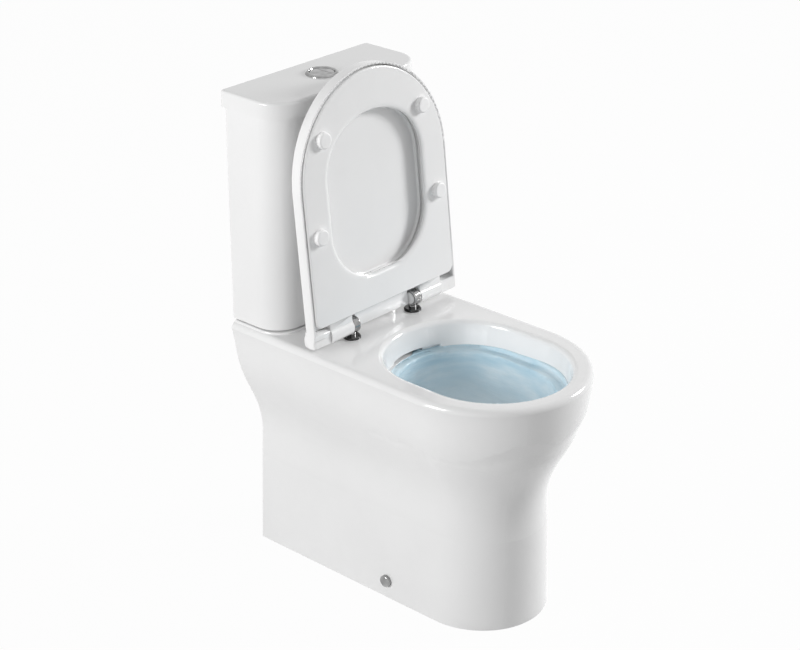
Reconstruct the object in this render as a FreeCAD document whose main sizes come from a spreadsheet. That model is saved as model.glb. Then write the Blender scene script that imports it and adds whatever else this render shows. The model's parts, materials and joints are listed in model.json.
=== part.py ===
import FreeCAD, Part
import Sketcher
import math
import os
import re

# Close-coupled rimless toilet: a skirted ceramic pan with its cistern, flush gear and soft-close seat.
# The front faces -Y, the wall side is +Y, and the floor is z = 0 under the middle of the whole object.

doc = FreeCAD.newDocument("rimless_toilet")

# Driving dimensions in millimetres, and angles in degrees
SIZES = {
    # The whole object
    "overall_depth": 621,
    "rim_height": 455,
    "pan_width": 353,
    "pan_back_gap": 8,
    "overrun": 6,
    "edge_tolerance": 0.001,
    # Skirt of the pan
    "foot_width": 234,
    "foot_setback": 68,
    "waist_width": 218,
    "waist_height": 225,
    "waist_setback": 72,
    "skirt_wall": 11,
    "deck_thickness": 25,
    "rim_round": 11,
    # Platform under the cistern
    "platform_width": 338,
    "platform_depth": 112,
    "platform_rise": 3.5,
    "platform_corner": 46,
    "platform_round": 2.5,
    # Bowl
    "bowl_width": 270,
    "bowl_setback": 49.5,
    "rim_front": 32,
    "lip_round": 8,
    "ledge_drop": 48,
    "ledge_width": 14,
    "wall_draft": 2,
    "bowl_wall": 10,
    "sump_height": 205,
    # Trapway and outlet
    "trap_bore": 76,
    "trap_wall": 10,
    "trap_bend": 54,
    "trap_entry_height": 201,
    "trap_dip_height": 179,
    "trap_crest_height": 305,
    "outlet_height": 190,
    "outlet_run": 46,
    "outlet_diameter": 102,
    "outlet_length": 40,
    # Flush channel from the cistern to the back of the bowl
    "channel_width": 80,
    "channel_height": 22,
    "channel_lift": 2,
    "channel_wall": 12,
    "channel_end_gap": 16,
    "mouth_width": 160,
    "mouth_depth": 20,
    "mouth_height": 7,
    "mouth_slot": 3,
    "socket_diameter": 100,
    "socket_depth": 25,
    "flush_hole": 66,
    # Floor fixing at the sides of the foot
    "side_fix_reach": 235,
    "side_fix_height": 33,
    "side_hole": 8,
    "side_screw": 6,
    "side_screw_length": 42,
    "side_head": 12,
    "side_head_height": 3,
    "side_cap": 22,
    "side_cap_height": 6,
    "side_cap_wall": 2,
    "side_cap_round": 2.5,
    "bracket_width": 36,
    "bracket_height": 50,
    "bracket_plate": 6,
    "bracket_reach": 54,
    "bracket_block": 20,
    "bracket_gap": 1,
    "bracket_pilot": 6.2,
    "floor_screw_hole": 8,
    "floor_hole_inset": 15,
    # Cistern tank
    "tank_gap": 3,
    "tank_top": 850,
    "tank_width": 340,
    "tank_base_width": 336,
    "tank_front_inset": 8,
    "tank_base_inset": 21,
    "tank_back_inset": 3,
    "tank_wall": 10,
    "tank_floor": 14,
    "tank_front_corner": 50,
    "tank_back_corner": 4,
    "tank_inside_corner": 8,
    # Cistern lid
    "lid_width": 357,
    "lid_depth": 138,
    "lid_height": 29,
    "lid_plate": 12,
    "lid_front_corner": 52,
    "lid_back_corner": 8,
    "lid_round": 5,
    "lid_skirt": 12,
    "lid_skirt_wall": 8,
    "lid_skirt_gap": 2,
    # Close-coupling fixings
    "bolt_spacing": 136,
    "bolt_diameter": 8,
    "bolt_hole": 14,
    "bolt_head": 18,
    "bolt_head_height": 6,
    "bolt_tail": 24,
    "washer_diameter": 24,
    "washer_thickness": 4,
    "thread_gap": 0.1,
    "wing_hub": 16,
    "wing_height": 10,
    "wing_span": 30,
    "wing_thickness": 5,
    # Flush valve
    "valve_setback": 65,
    "valve_bore": 52,
    "valve_tail": 62,
    "valve_hole": 64,
    "valve_tail_length": 32,
    "valve_flange": 84,
    "valve_flange_height": 6,
    "valve_seat": 60,
    "valve_seat_height": 14,
    "backnut_diameter": 89,
    "backnut_height": 12,
    "gasket_bore": 90,
    "gasket_gap": 0.4,
    "post_spacing": 70,
    "post_thickness": 8,
    "post_depth": 16,
    "guide_height": 130,
    "guide_thickness": 8,
    "guide_gap": 0.4,
    "guide_wall": 5,
    "head_height": 775,
    "head_width": 86,
    "head_depth": 36,
    "head_thickness": 25,
    "head_socket_depth": 16,
    "seal_diameter": 66,
    "seal_thickness": 4,
    "seal_gap": 0.3,
    "overflow_diameter": 28,
    "overflow_bore": 24,
    "overflow_height": 745,
    "overflow_flange": 58,
    "overflow_flange_height": 5,
    # Flush button
    "bezel_diameter": 58,
    "bezel_height": 3.5,
    "bezel_bore": 44,
    "bezel_tube": 48,
    "bezel_tube_length": 28,
    "bezel_lip": 2,
    "bezel_slope": 3,
    "bezel_hole": 49,
    "button_nut": 62,
    "button_nut_height": 10,
    "button_gap": 0.4,
    "button_split": 6,
    "button_top": 2,
    "button_depth": 14,
    "button_round": 1.2,
    "rod_diameter": 6,
    "rod_gap": 0.4,
    "rod_entry": 4,
    "full_rod_x": -9,
    "half_rod_x": 14,
    # Fill valve
    "fill_x": -101,
    "shank_diameter": 20.4,
    "shank_core": 20,
    "shank_thread": 30,
    "shank_hole": 23,
    "service_hole": 42,
    "shank_tail": 36,
    "fill_flange": 40,
    "fill_flange_height": 5,
    "fill_washer_thickness": 3,
    "fill_tube": 26,
    "fill_head": 40,
    "fill_head_height": 22,
    "fill_height": 800,
    "fill_nut": 36,
    "fill_nut_height": 9,
    "float_diameter": 54,
    "float_gap": 0.5,
    "float_bottom": 640,
    "float_height": 65,
    # Seat hinge
    "hinge_spacing": 155,
    "hinge_gap": 65.5,
    "hinge_rise": 24,
    "seat_lean": 6.1,
    "drum_diameter": 30,
    "drum_inner": 70,
    "drum_outer": 85,
    "drum_round": 2,
    "cap_recess": 21,
    "cap_depth": 3,
    "cap_gap": 0.2,
    "cap_proud": 1,
    "stem_diameter": 14,
    "stud_diameter": 8,
    "stud_tail": 22,
    "stud_hole": 14,
    "base_diameter": 31,
    "base_height": 5,
    "base_round": 2,
    "base_gap": 0.1,
    "pin_diameter": 10,
    "pin_seat": 10,
    "pin_fit": 0.05,
    "damper_diameter": 18,
    "damper_fit": 0.05,
    "damper_inset": 2,
    "stud_washer": 26,
    "stud_washer_height": 4,
    # Seat ring
    "ring_width": 346,
    "ring_rear": 22,
    "seat_overhang": 15.5,
    "ring_rear_corner": 14,
    "ring_drop": 13.8,
    "ring_thickness": 14,
    "ring_round": 3,
    "ring_hole_width": 230,
    "ring_hole_rear": 80,
    "ring_front_width": 72,
    "ring_hole_nose": 140,
    "ring_hole_corner": 95,
    "ring_hole_round": 10,
    "ring_hole_lip": 3,
    "knuckle_diameter": 30,
    "ring_knuckle_inner": 86,
    "knuckle_gap": 1,
    "knuckle_web": 34,
    # Seat cover
    "cover_gap": 1.6,
    "cover_side_gap": 1.8,
    "cover_wall": 4.2,
    "cover_plate": 8.5,
    "cover_dish": 5,
    "dish_margin": 4,
    "dish_round": 4,
    "cover_crown": 4,
    "cover_reveal": 3,
    "cover_rear": 9,
    "cover_rear_corner": 8,
    "cover_round": 5,
    "cover_notch_inner": 66.5,
    "cover_notch_front": 17,
    "ear_length": 38.5,
    "ear_end_wall": 3.5,
    # Buffers
    "buffer_diameter": 28,
    "buffer_gap": 0.3,
    "buffer_round": 3,
    "front_buffer_inset": 52,
    "front_buffer_setback": 93,
    "side_buffer_inset": 26,
    "side_buffer_reach": 180,
    "pad_diameter": 12,
    "pad_gap": 0.3,
    "rear_pad_inset": 23,
    "rear_pad_reach": 110,
    "front_pad_inset": 35,
    "front_pad_setback": 108,
}

# The skirt runs straight from the floor up to this share of the way down from its waist
FOOT_TOP_SHARE = 0.25

# The skirt's flare from waist to rim: how far up, and how far out
FLARE_HEIGHT_SHARES = (0, 0.25, 0.5, 0.75, 1)
FLARE_WIDTH_SHARES = (0, 0.165, 0.55, 0.825, 1)
FLARE_FRONT_SHARES = (0, 0.235, 0.635, 0.91, 1)
CAVITY_TOP_WIDTH_SHARE = 0.94
CAVITY_TOP_FRONT_SHARE = 0.97

# A quarter round in steps: how far up, and how far in
ROUND_RISE_SHARES = (0, 0.5, 0.866, 1)
ROUND_INSET_SHARES = (0, 0.134, 0.5, 1)

# Round fronts of skirt, bowl and seat: radius of the nose and of the corners, as shares of the half width
FRONT_NOSE_SHARE = 0.97
FRONT_CORNER_SHARE = 1.03

# The bowl below its ledge: depth, half width, how far the back draws in, and length of the straight sides
BOWL_DEPTH_SHARES = (0, 0.22, 0.46, 0.70, 0.87, 1)
BOWL_WIDTH_SHARES = (1, 0.90, 0.735, 0.535, 0.385, 0.25)
BOWL_BACK_SHARES = (0, 0.013, 0.034, 0.054, 0.080, 0.114)
BOWL_SIDE_SHARES = (1, 0.85, 0.62, 0.416, 0.25, 0.143)
BOWL_BACK_CORNER_SHARE = 0.6

# Length of the bowl's front curve and back corners together, as a share of the half width
BOWL_ROUND_SHARE = 1.622

# Where the trapway starts and dips, as shares of the bowl's length from its back
TRAP_ENTRY_SHARE = 0.324
TRAP_DIP_SHARE = 0.125

# The seat hole's back corners take no more than this share of its length
HOLE_CORNER_SHARE = 0.33

# Levels and planes that several pieces share
FRONT = "(-overall_depth / 2)"
WALL = "(overall_depth / 2)"
PAN_BACK = "(overall_depth / 2 - pan_back_gap)"
PLATFORM_TOP = "(rim_height + platform_rise)"
DECK_UNDERSIDE = "(rim_height - deck_thickness)"
LEDGE = "(rim_height - ledge_drop)"
TANK_BASE = "(rim_height + platform_rise + tank_gap)"
TANK_INSIDE = "(rim_height + platform_rise + tank_gap + tank_floor)"
LID_TOP = "(tank_top + lid_height)"
LID_FRONT = "(overall_depth / 2 - lid_depth)"
HINGE_Y = f"({LID_FRONT} - hinge_gap)"
VALVE_Y = f"({WALL} - valve_setback)"
SIDE_FIX_Y = f"({FRONT} + foot_setback + side_fix_reach)"
BOWL_BACK = f"({HINGE_Y} - bowl_setback)"
BOWL_FRONT = f"({FRONT} + rim_front)"
BOWL_LENGTH = f"({BOWL_BACK} - {BOWL_FRONT})"
TRAP_ENTRY_Y = f"({BOWL_BACK} - {TRAP_ENTRY_SHARE} * {BOWL_LENGTH})"
TRAP_DIP_Y = f"({BOWL_BACK} - {TRAP_DIP_SHARE} * {BOWL_LENGTH})"
OUTLET_BEND_Y = f"({PAN_BACK} - outlet_run)"
TRAP_CREST_Y = f"(({TRAP_DIP_Y} + {OUTLET_BEND_Y}) / 2)"
HINGE_HEIGHT = "(rim_height + hinge_rise)"
RING_TOP = "(ring_thickness - ring_drop)"
RING_FRONT = f"({HINGE_Y} - {FRONT} + seat_overhang)"
RING_NOSE = f"({FRONT_NOSE_SHARE} * ring_width / 2)"
RING_CORNER = f"({FRONT_CORNER_SHARE} * ring_width / 2)"
RING_HOLE_FRONT = f"({RING_FRONT} - ring_front_width)"
HOLE_BACK_CORNER = f"min(ring_hole_corner; {HOLE_CORNER_SHARE} * ({RING_HOLE_FRONT} - ring_hole_rear))"
COVER_INSIDE = "(ring_thickness - ring_drop + cover_gap)"
COVER_EDGE = "(ring_thickness - ring_drop + cover_gap + cover_plate)"
COVER_RIM = "(cover_reveal - ring_drop)"
COVER_HALF = "(ring_width / 2 + cover_side_gap + cover_wall)"
EAR_INNER = f"({COVER_HALF} - ear_length)"
KNUCKLE_OUTER = f"({EAR_INNER} - knuckle_gap)"
SEAL_BASE = "(rim_height + platform_rise + tank_gap + tank_floor + valve_seat_height + seal_gap)"

sheet = doc.addObject("Spreadsheet::Sheet", "Sizes")
for row, (alias, value) in enumerate(SIZES.items(), start=1):
    sheet.set(f"A{row}", alias)
    sheet.set(f"B{row}", str(value))
    sheet.setAlias(f"B{row}", alias)
doc.recompute()


def named(text):
    """The expression with each size's name pointing at its cell."""
    return re.sub(r"[a-z][a-z_]*", lambda word: f"Sizes.{word[0]}" if word[0] in SIZES else word[0], text)


def size(text):
    """The value of an expression of named sizes."""
    return float(sheet.evalExpression(named(text)))


# Sketches

def sketch_on(body, role, lift="0"):
    """A sketch on one of the body's own planes, lifted along the plane's normal."""
    sketch = body.newObject("Sketcher::SketchObject", "Sketch")
    plane = next(feature for feature in body.Origin.OriginFeatures if feature.Role == role)
    sketch.AttachmentSupport = (plane, [""])
    sketch.MapMode = "FlatFace"
    if lift != "0":
        sketch.setExpression("AttachmentOffset.Base.z", named(lift))
    return sketch


def constrain(sketch, *arguments):
    return sketch.addConstraint(Sketcher.Constraint(*arguments))


def drive(sketch, kind, places, text):
    """A dimension whose value comes from the named sizes."""
    index = constrain(sketch, kind, *places, size(text))
    sketch.setExpression(f"Constraints[{index}]", named(text))


def hold(sketch, geometry, point, across, up):
    """Keeps a point of the sketch at a named place."""
    for kind, text, axis in (("DistanceX", across, -2), ("DistanceY", up, -1)):
        if text == "0":
            constrain(sketch, "PointOnObject", geometry, point, axis)
        else:
            drive(sketch, kind, (-1, 1, geometry, point), text)


def nearest_end(sketch, geometry, place):
    """Which end of a curve lies at a place: 1 is its start and 2 its end."""
    return min((1, 2), key=lambda end: (sketch.getPoint(geometry, end) - place).Length)


def polygon(sketch, corners):
    """A closed outline of straight sides through named corners."""
    points = [FreeCAD.Vector(size(across), size(up), 0) for across, up in corners]
    first = sketch.GeometryCount
    for start, end in zip(points, points[1:] + points[:1]):
        sketch.addGeometry(Part.LineSegment(start, end))
    for index, (across, up) in enumerate(corners):
        following = (index + 1) % len(corners)
        constrain(sketch, "Coincident", first + index, 2, first + following, 1)
        hold(sketch, first + index, 1, across, up)
    return sketch


def rectangle(sketch, left, right, low, high):
    return polygon(sketch, [(left, low), (right, low), (right, high), (left, high)])


def circle(sketch, diameter, across="0", up="0"):
    centre = FreeCAD.Vector(size(across), size(up), 0)
    index = sketch.addGeometry(Part.Circle(centre, FreeCAD.Vector(0, 0, 1), size(diameter) / 2))
    drive(sketch, "Diameter", (index,), diameter)
    hold(sketch, index, 3, across, up)
    return sketch


def join_tangent(sketch, first, second, place):
    """Makes two curves meet smoothly at a place."""
    constrain(sketch, "Tangent", first, nearest_end(sketch, first, place),
              second, nearest_end(sketch, second, place))


def rounded_rectangle(sketch, half, front, back, front_corner, back_corner):
    """A symmetric outline with one radius at its front corners and another at its back corners."""
    a, low, high = size(half), size(front), size(back)
    near, far = size(front_corner), size(back_corner)
    corners = [(-a, low, near), (a, low, near), (a, high, far), (-a, high, far)]
    points = []
    for x, y, radius in corners:
        side, end = math.copysign(1, x), 1 if y == high else -1
        centre = FreeCAD.Vector(x - side * radius, y - end * radius, 0)
        on_side = centre + FreeCAD.Vector(side * radius, 0, 0)
        on_end = centre + FreeCAD.Vector(0, end * radius, 0)
        middle = centre + FreeCAD.Vector(side, end, 0).normalize() * radius
        points.append((on_side, middle, on_end))
    first = sketch.GeometryCount
    arcs = [sketch.addGeometry(Part.Arc(*three)) for three in points]
    joins = [(0, 1, 2, 2), (1, 2, 0, 0), (2, 3, 2, 2), (3, 0, 0, 0)]
    lines = []
    for start, end, leave, reach in joins:
        line = sketch.addGeometry(Part.LineSegment(points[start][leave], points[end][reach]))
        join_tangent(sketch, arcs[start], line, points[start][leave])
        join_tangent(sketch, line, arcs[end], points[end][reach])
        lines.append(line)
    constrain(sketch, "Horizontal", lines[0])
    constrain(sketch, "Vertical", lines[1])
    constrain(sketch, "Horizontal", lines[2])
    constrain(sketch, "Vertical", lines[3])
    hold_line(sketch, lines[0], "DistanceY", front)
    hold_line(sketch, lines[2], "DistanceY", back)
    hold_line(sketch, lines[1], "DistanceX", half)
    hold_line(sketch, lines[3], "DistanceX", f"-({half})")
    for arc, text in zip(arcs, (front_corner, front_corner, back_corner, back_corner)):
        drive(sketch, "Radius", (arc,), text)
    return sketch


def hold_line(sketch, line, kind, text):
    drive(sketch, kind, (-1, 1, line, 1), text)


def d_outline(sketch, half, back, tip, nose, corner, back_corner="0"):
    """A symmetric outline: straight back, parallel sides, and a front of three tangent arcs.

    The front points to -Y. Where the nose is wider than the half width the corners are tighter than it,
    and where it is narrower the corners are wider.
    """
    a, y_back, y_tip = size(half), size(back), size(tip)
    r_nose, r_corner, r_back = size(nose), size(corner), size(back_corner)
    y_nose = y_tip + r_nose
    step = math.sqrt((r_nose - r_corner) ** 2 - (a - r_corner) ** 2)
    full = math.copysign(1, r_nose - r_corner)
    y_corner = y_nose - full * step
    nose_centre = FreeCAD.Vector(0, y_nose, 0)
    meeting = {}
    sides = {}
    middles = {}
    for side in (1, -1):
        centre = FreeCAD.Vector(side * (a - r_corner), y_corner, 0)
        reach = (centre - nose_centre).normalize() * full
        meeting[side] = nose_centre + reach * r_nose
        sides[side] = FreeCAD.Vector(side * a, y_corner, 0)
        bisector = (meeting[side] - centre).normalize() + (sides[side] - centre).normalize()
        middles[side] = centre + bisector.normalize() * r_corner
    nose_arc = sketch.addGeometry(Part.Arc(meeting[-1], FreeCAD.Vector(0, y_tip, 0), meeting[1]))
    corner_arcs, side_lines, back_arcs, back_ends = {}, {}, {}, {}
    for side in (1, -1):
        corner_arcs[side] = sketch.addGeometry(Part.Arc(meeting[side], middles[side], sides[side]))
        top = FreeCAD.Vector(side * a, y_back - r_back, 0)
        side_lines[side] = sketch.addGeometry(Part.LineSegment(sides[side], top))
        back_ends[side] = FreeCAD.Vector(side * (a - r_back), y_back, 0)
        join_tangent(sketch, nose_arc, corner_arcs[side], meeting[side])
        join_tangent(sketch, corner_arcs[side], side_lines[side], sides[side])
        constrain(sketch, "Vertical", side_lines[side])
        if r_back:
            centre = FreeCAD.Vector(side * (a - r_back), y_back - r_back, 0)
            middle = centre + FreeCAD.Vector(side, 1, 0).normalize() * r_back
            back_arcs[side] = sketch.addGeometry(Part.Arc(top, middle, back_ends[side]))
            join_tangent(sketch, side_lines[side], back_arcs[side], top)
    back_line = sketch.addGeometry(Part.LineSegment(back_ends[1], back_ends[-1]))
    for side, end in ((1, 1), (-1, 2)):
        if r_back:
            join_tangent(sketch, back_arcs[side], back_line, back_ends[side])
        else:
            constrain(sketch, "Coincident", side_lines[side], 2, back_line, end)
    constrain(sketch, "Symmetric", back_line, 1, back_line, 2, -2)
    constrain(sketch, "PointOnObject", nose_arc, 3, -2)
    constrain(sketch, "Equal", corner_arcs[1], corner_arcs[-1])
    drive(sketch, "DistanceX", (-1, 1, side_lines[1], 1), half)
    drive(sketch, "DistanceY", (-1, 1, back_line, 1), back)
    drive(sketch, "DistanceY", (-1, 1, nose_arc, 3), f"{tip} + {nose}")
    drive(sketch, "Radius", (nose_arc,), nose)
    drive(sketch, "Radius", (corner_arcs[1],), corner)
    if r_back:
        constrain(sketch, "Equal", back_arcs[1], back_arcs[-1])
        drive(sketch, "Radius", (back_arcs[1],), back_corner)
    return sketch


# Features

def new_body(name):
    body = doc.addObject("PartDesign::Body", name)
    body.Label = name
    return body


def loft(body, kind, sections, ruled=False):
    """Adds or takes away the form that runs through the sections."""
    feature = body.newObject(f"PartDesign::{kind}Loft", f"{kind}Loft")
    feature.Profile = sections[0]
    feature.Sections = sections[1:]
    feature.Ruled = ruled
    return feature


def pad(body, sketch, length, backwards=False):
    feature = body.newObject("PartDesign::Pad", "Pad")
    feature.Profile = sketch
    feature.setExpression("Length", named(length))
    feature.Reversed = backwards
    return feature


def pocket(body, sketch, length, backwards=False):
    feature = body.newObject("PartDesign::Pocket", "Pocket")
    feature.Profile = sketch
    feature.setExpression("Length", named(length))
    feature.Reversed = backwards
    return feature


def pocket_both_ways(body, sketch):
    """Cuts right through the body on both sides of the sketch."""
    feature = body.newObject("PartDesign::Pocket", "Pocket")
    feature.Profile = sketch
    feature.Type = "ThroughAll"
    feature.Midplane = True
    return feature


def revolve(body, profile):
    """Turns a profile of radius and height, in the XZ plane, about Z."""
    feature = body.newObject("PartDesign::Revolution", "Revolution")
    feature.Profile = polygon(sketch_on(body, "XZ_Plane"), profile)
    feature.ReferenceAxis = (feature.Profile[0], ["V_Axis"])
    feature.Angle = 360
    return feature


def mirror_across(body, features, role="YZ_Plane"):
    feature = body.newObject("PartDesign::Mirrored", "Mirrored")
    plane = next(item for item in body.Origin.OriginFeatures if item.Role == role)
    feature.Originals = features
    feature.MirrorPlane = (plane, [""])
    body.Tip = feature
    return feature


def round_edges(body, chosen, radius):
    """Fillets the edges of the body's last feature that the test picks."""
    doc.recompute()
    base = body.Tip
    names = [f"Edge{number}" for number, edge in enumerate(base.Shape.Edges, start=1) if chosen(edge)]
    if not names:
        raise RuntimeError(f"{body.Label}: no edge to round")
    feature = body.newObject("PartDesign::Fillet", "Fillet")
    feature.Base = (base, names)
    feature.setExpression("Radius", named(radius))
    doc.recompute()
    return feature


def level_edges(*heights):
    """A test for edges that lie level at one of the given heights."""
    levels = [size(height) for height in heights]
    tiny = size("edge_tolerance")

    def at_level(edge):
        box = edge.BoundBox
        return any(abs(box.ZMin - level) < tiny and abs(box.ZMax - level) < tiny for level in levels)

    return at_level


def place(item, x="0", y="0", z="0"):
    """Puts a piece at a named place."""
    for axis, text in zip("xyz", (x, y, z)):
        if text != "0":
            item.setExpression(f"Placement.Base.{axis}", named(text))
    return item


def mirrored_copy(name, source):
    """The same piece on the other side of the middle plane."""
    copy = doc.addObject("Part::Mirroring", name)
    copy.Label = name
    copy.Source = source
    copy.Normal = FreeCAD.Vector(1, 0, 0)
    return copy


def group(name, pieces):
    """Several like pieces as one node."""
    bundle = doc.addObject("Part::Compound", name)
    bundle.Label = name
    bundle.Links = pieces
    return bundle


def pair(name, source):
    return group(name, [source, mirrored_copy(f"{name}_other", source)])


def ring_profile(bore, outside, low, high):
    """The section of a plain washer or tube."""
    return [(f"{bore} / 2", low), (f"{outside} / 2", low), (f"{outside} / 2", high), (f"{bore} / 2", high)]


def washer(name, bore, outside, height):
    body = new_body(name)
    revolve(body, ring_profile(bore, outside, "0", height))
    return body


# Pan

def skirt_section(body, height, shares, inset="0", back=PAN_BACK, below_waist=False):
    """The skirt's outline at a height.

    The two shares are how far its sides and its front have gone from the waist to the rim, or to the foot
    below the waist.
    """
    widest, farthest = ("foot_width", "foot_setback") if below_waist else ("pan_width", "0")
    side_share, front_share = shares
    half = f"(waist_width + {side_share} * ({widest} - waist_width)) / 2"
    tip = f"({FRONT} + waist_setback + {front_share} * ({farthest} - waist_setback))"
    return d_outline(
        sketch_on(body, "XY_Plane", height),
        f"({half} - {inset})",
        back,
        f"({tip} + {inset})",
        f"({half} * {FRONT_NOSE_SHARE} - {inset})",
        f"({half} * {FRONT_CORNER_SHARE} - {inset})",
    )


def foot_section(body, share, inset="0", back=PAN_BACK):
    """The skirt's outline at a share of the way down from its waist to the floor."""
    return skirt_section(body, f"((1 - {share}) * waist_height)", (share, share), inset, back, True)


def flare_height(share):
    return f"(waist_height + {share} * (rim_height - rim_round - waist_height))"


def bowl_section(body, height, number, grow="0"):
    """The bowl's outline below its ledge, at one of its depths."""
    first_half = "(bowl_width / 2 - wall_draft - ledge_width)"
    length = f"({BOWL_LENGTH} - 2 * wall_draft - 2 * ledge_width)"
    half = f"{BOWL_WIDTH_SHARES[number]} * {first_half}"
    back = f"({BOWL_BACK} - wall_draft - ledge_width - {BOWL_BACK_SHARES[number]} * {length})"
    straight = f"{BOWL_SIDE_SHARES[number]} * ({length} - {BOWL_ROUND_SHARE} * {first_half})"
    return d_outline(
        sketch_on(body, "XY_Plane", height),
        f"({half} + {grow})",
        f"({back} + {grow})",
        f"({back} - {BOWL_ROUND_SHARE} * {half} - {straight} - {grow})",
        f"({half} * {FRONT_NOSE_SHARE} + {grow})",
        f"({half} * {FRONT_CORNER_SHARE} + {grow})",
        f"({half} * {BOWL_BACK_CORNER_SHARE} + {grow})",
    )


def opening_section(body, height, inset):
    """The bowl's mouth at the rim, drawn in or grown by an inset."""
    half = "bowl_width / 2"
    return d_outline(
        sketch_on(body, "XY_Plane", height),
        f"({half} - {inset})",
        f"({BOWL_BACK} - {inset})",
        f"({BOWL_FRONT} + {inset})",
        f"({half} * {FRONT_NOSE_SHARE} - {inset})",
        f"({half} * {FRONT_CORNER_SHARE} - {inset})",
        f"({half} * {BOWL_BACK_CORNER_SHARE} - {inset})",
    )


def trap_spine(body):
    """The trapway's middle line from the outlet, over the crest and through the dip, into the sump."""
    bend = size("trap_bend")
    outlet = FreeCAD.Vector(size(OUTLET_BEND_Y), size("outlet_height") + bend, 0)
    crest = FreeCAD.Vector(size(TRAP_CREST_Y), size("trap_crest_height") - bend, 0)
    dip = FreeCAD.Vector(size(TRAP_DIP_Y), size("trap_dip_height") + bend, 0)
    start = FreeCAD.Vector(size(PAN_BACK), size("outlet_height"), 0)
    entry = FreeCAD.Vector(size(TRAP_ENTRY_Y), size("trap_entry_height"), 0)

    def crossing(low, high):
        """Where the straight run touches the bend under it and the bend over it."""
        across = high - low
        turn = math.asin(2 * bend / across.Length)
        slope = math.atan2(across.y, across.x)
        angle = slope + math.copysign(turn, across.x)
        outward = FreeCAD.Vector(math.sin(angle), -math.cos(angle), 0) * math.copysign(bend, across.x)
        return low + outward, high - outward

    outlet_leave, crest_reach = crossing(outlet, crest)
    dip_reach, crest_leave = crossing(dip, crest)
    to_entry = entry - dip
    swing = math.acos(bend / to_entry.Length)
    angle = math.atan2(to_entry.y, to_entry.x) + swing
    dip_leave = dip + FreeCAD.Vector(math.cos(angle), math.sin(angle), 0) * bend

    def arc_through(centre, one, other, toward):
        middle = centre + FreeCAD.Vector(0, toward * bend, 0)
        return Part.Arc(one, middle, other)

    bottom = FreeCAD.Vector(outlet.x, outlet.y - bend, 0)
    half_way = ((bottom - outlet).normalize() + (outlet_leave - outlet).normalize()).normalize() * bend
    sketch = sketch_on(body, "YZ_Plane")
    run_out = sketch.addGeometry(Part.LineSegment(start, bottom))
    outlet_arc = sketch.addGeometry(Part.Arc(bottom, outlet + half_way, outlet_leave))
    fall = sketch.addGeometry(Part.LineSegment(outlet_leave, crest_reach))
    crest_arc = sketch.addGeometry(arc_through(crest, crest_reach, crest_leave, 1))
    climb = sketch.addGeometry(Part.LineSegment(crest_leave, dip_reach))
    dip_arc = sketch.addGeometry(arc_through(dip, dip_reach, dip_leave, -1))
    run_in = sketch.addGeometry(Part.LineSegment(dip_leave, entry))
    chain = [run_out, outlet_arc, fall, crest_arc, climb, dip_arc, run_in]
    meetings = [bottom, outlet_leave, crest_reach, crest_leave, dip_reach, dip_leave]
    for one, other, meeting in zip(chain, chain[1:], meetings):
        join_tangent(sketch, one, other, meeting)
    constrain(sketch, "Horizontal", run_out)
    drive(sketch, "DistanceX", (-1, 1, run_out, 1), PAN_BACK)
    hold(sketch, outlet_arc, 3, OUTLET_BEND_Y, "outlet_height + trap_bend")
    hold(sketch, crest_arc, 3, TRAP_CREST_Y, "trap_crest_height - trap_bend")
    hold(sketch, dip_arc, 3, TRAP_DIP_Y, "trap_dip_height + trap_bend")
    drive(sketch, "Radius", (crest_arc,), "trap_bend")
    drive(sketch, "Radius", (dip_arc,), "trap_bend")
    drive(sketch, "Radius", (outlet_arc,), "trap_bend")
    hold(sketch, run_in, nearest_end(sketch, run_in, entry), TRAP_ENTRY_Y, "trap_entry_height")
    return sketch


def trap_pipe(body, kind, diameter):
    """A round pipe along the trapway, added or taken away."""
    spine = trap_spine(body)
    profile = circle(sketch_on(body, "XZ_Plane", f"-{PAN_BACK}"), diameter, "0", "outlet_height")
    doc.recompute()
    feature = body.newObject(f"PartDesign::{kind}Pipe", f"{kind}Pipe")
    feature.Profile = profile
    feature.Spine = (spine, [f"Edge{number}" for number in range(1, len(spine.Shape.Edges) + 1)])
    return feature


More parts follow.
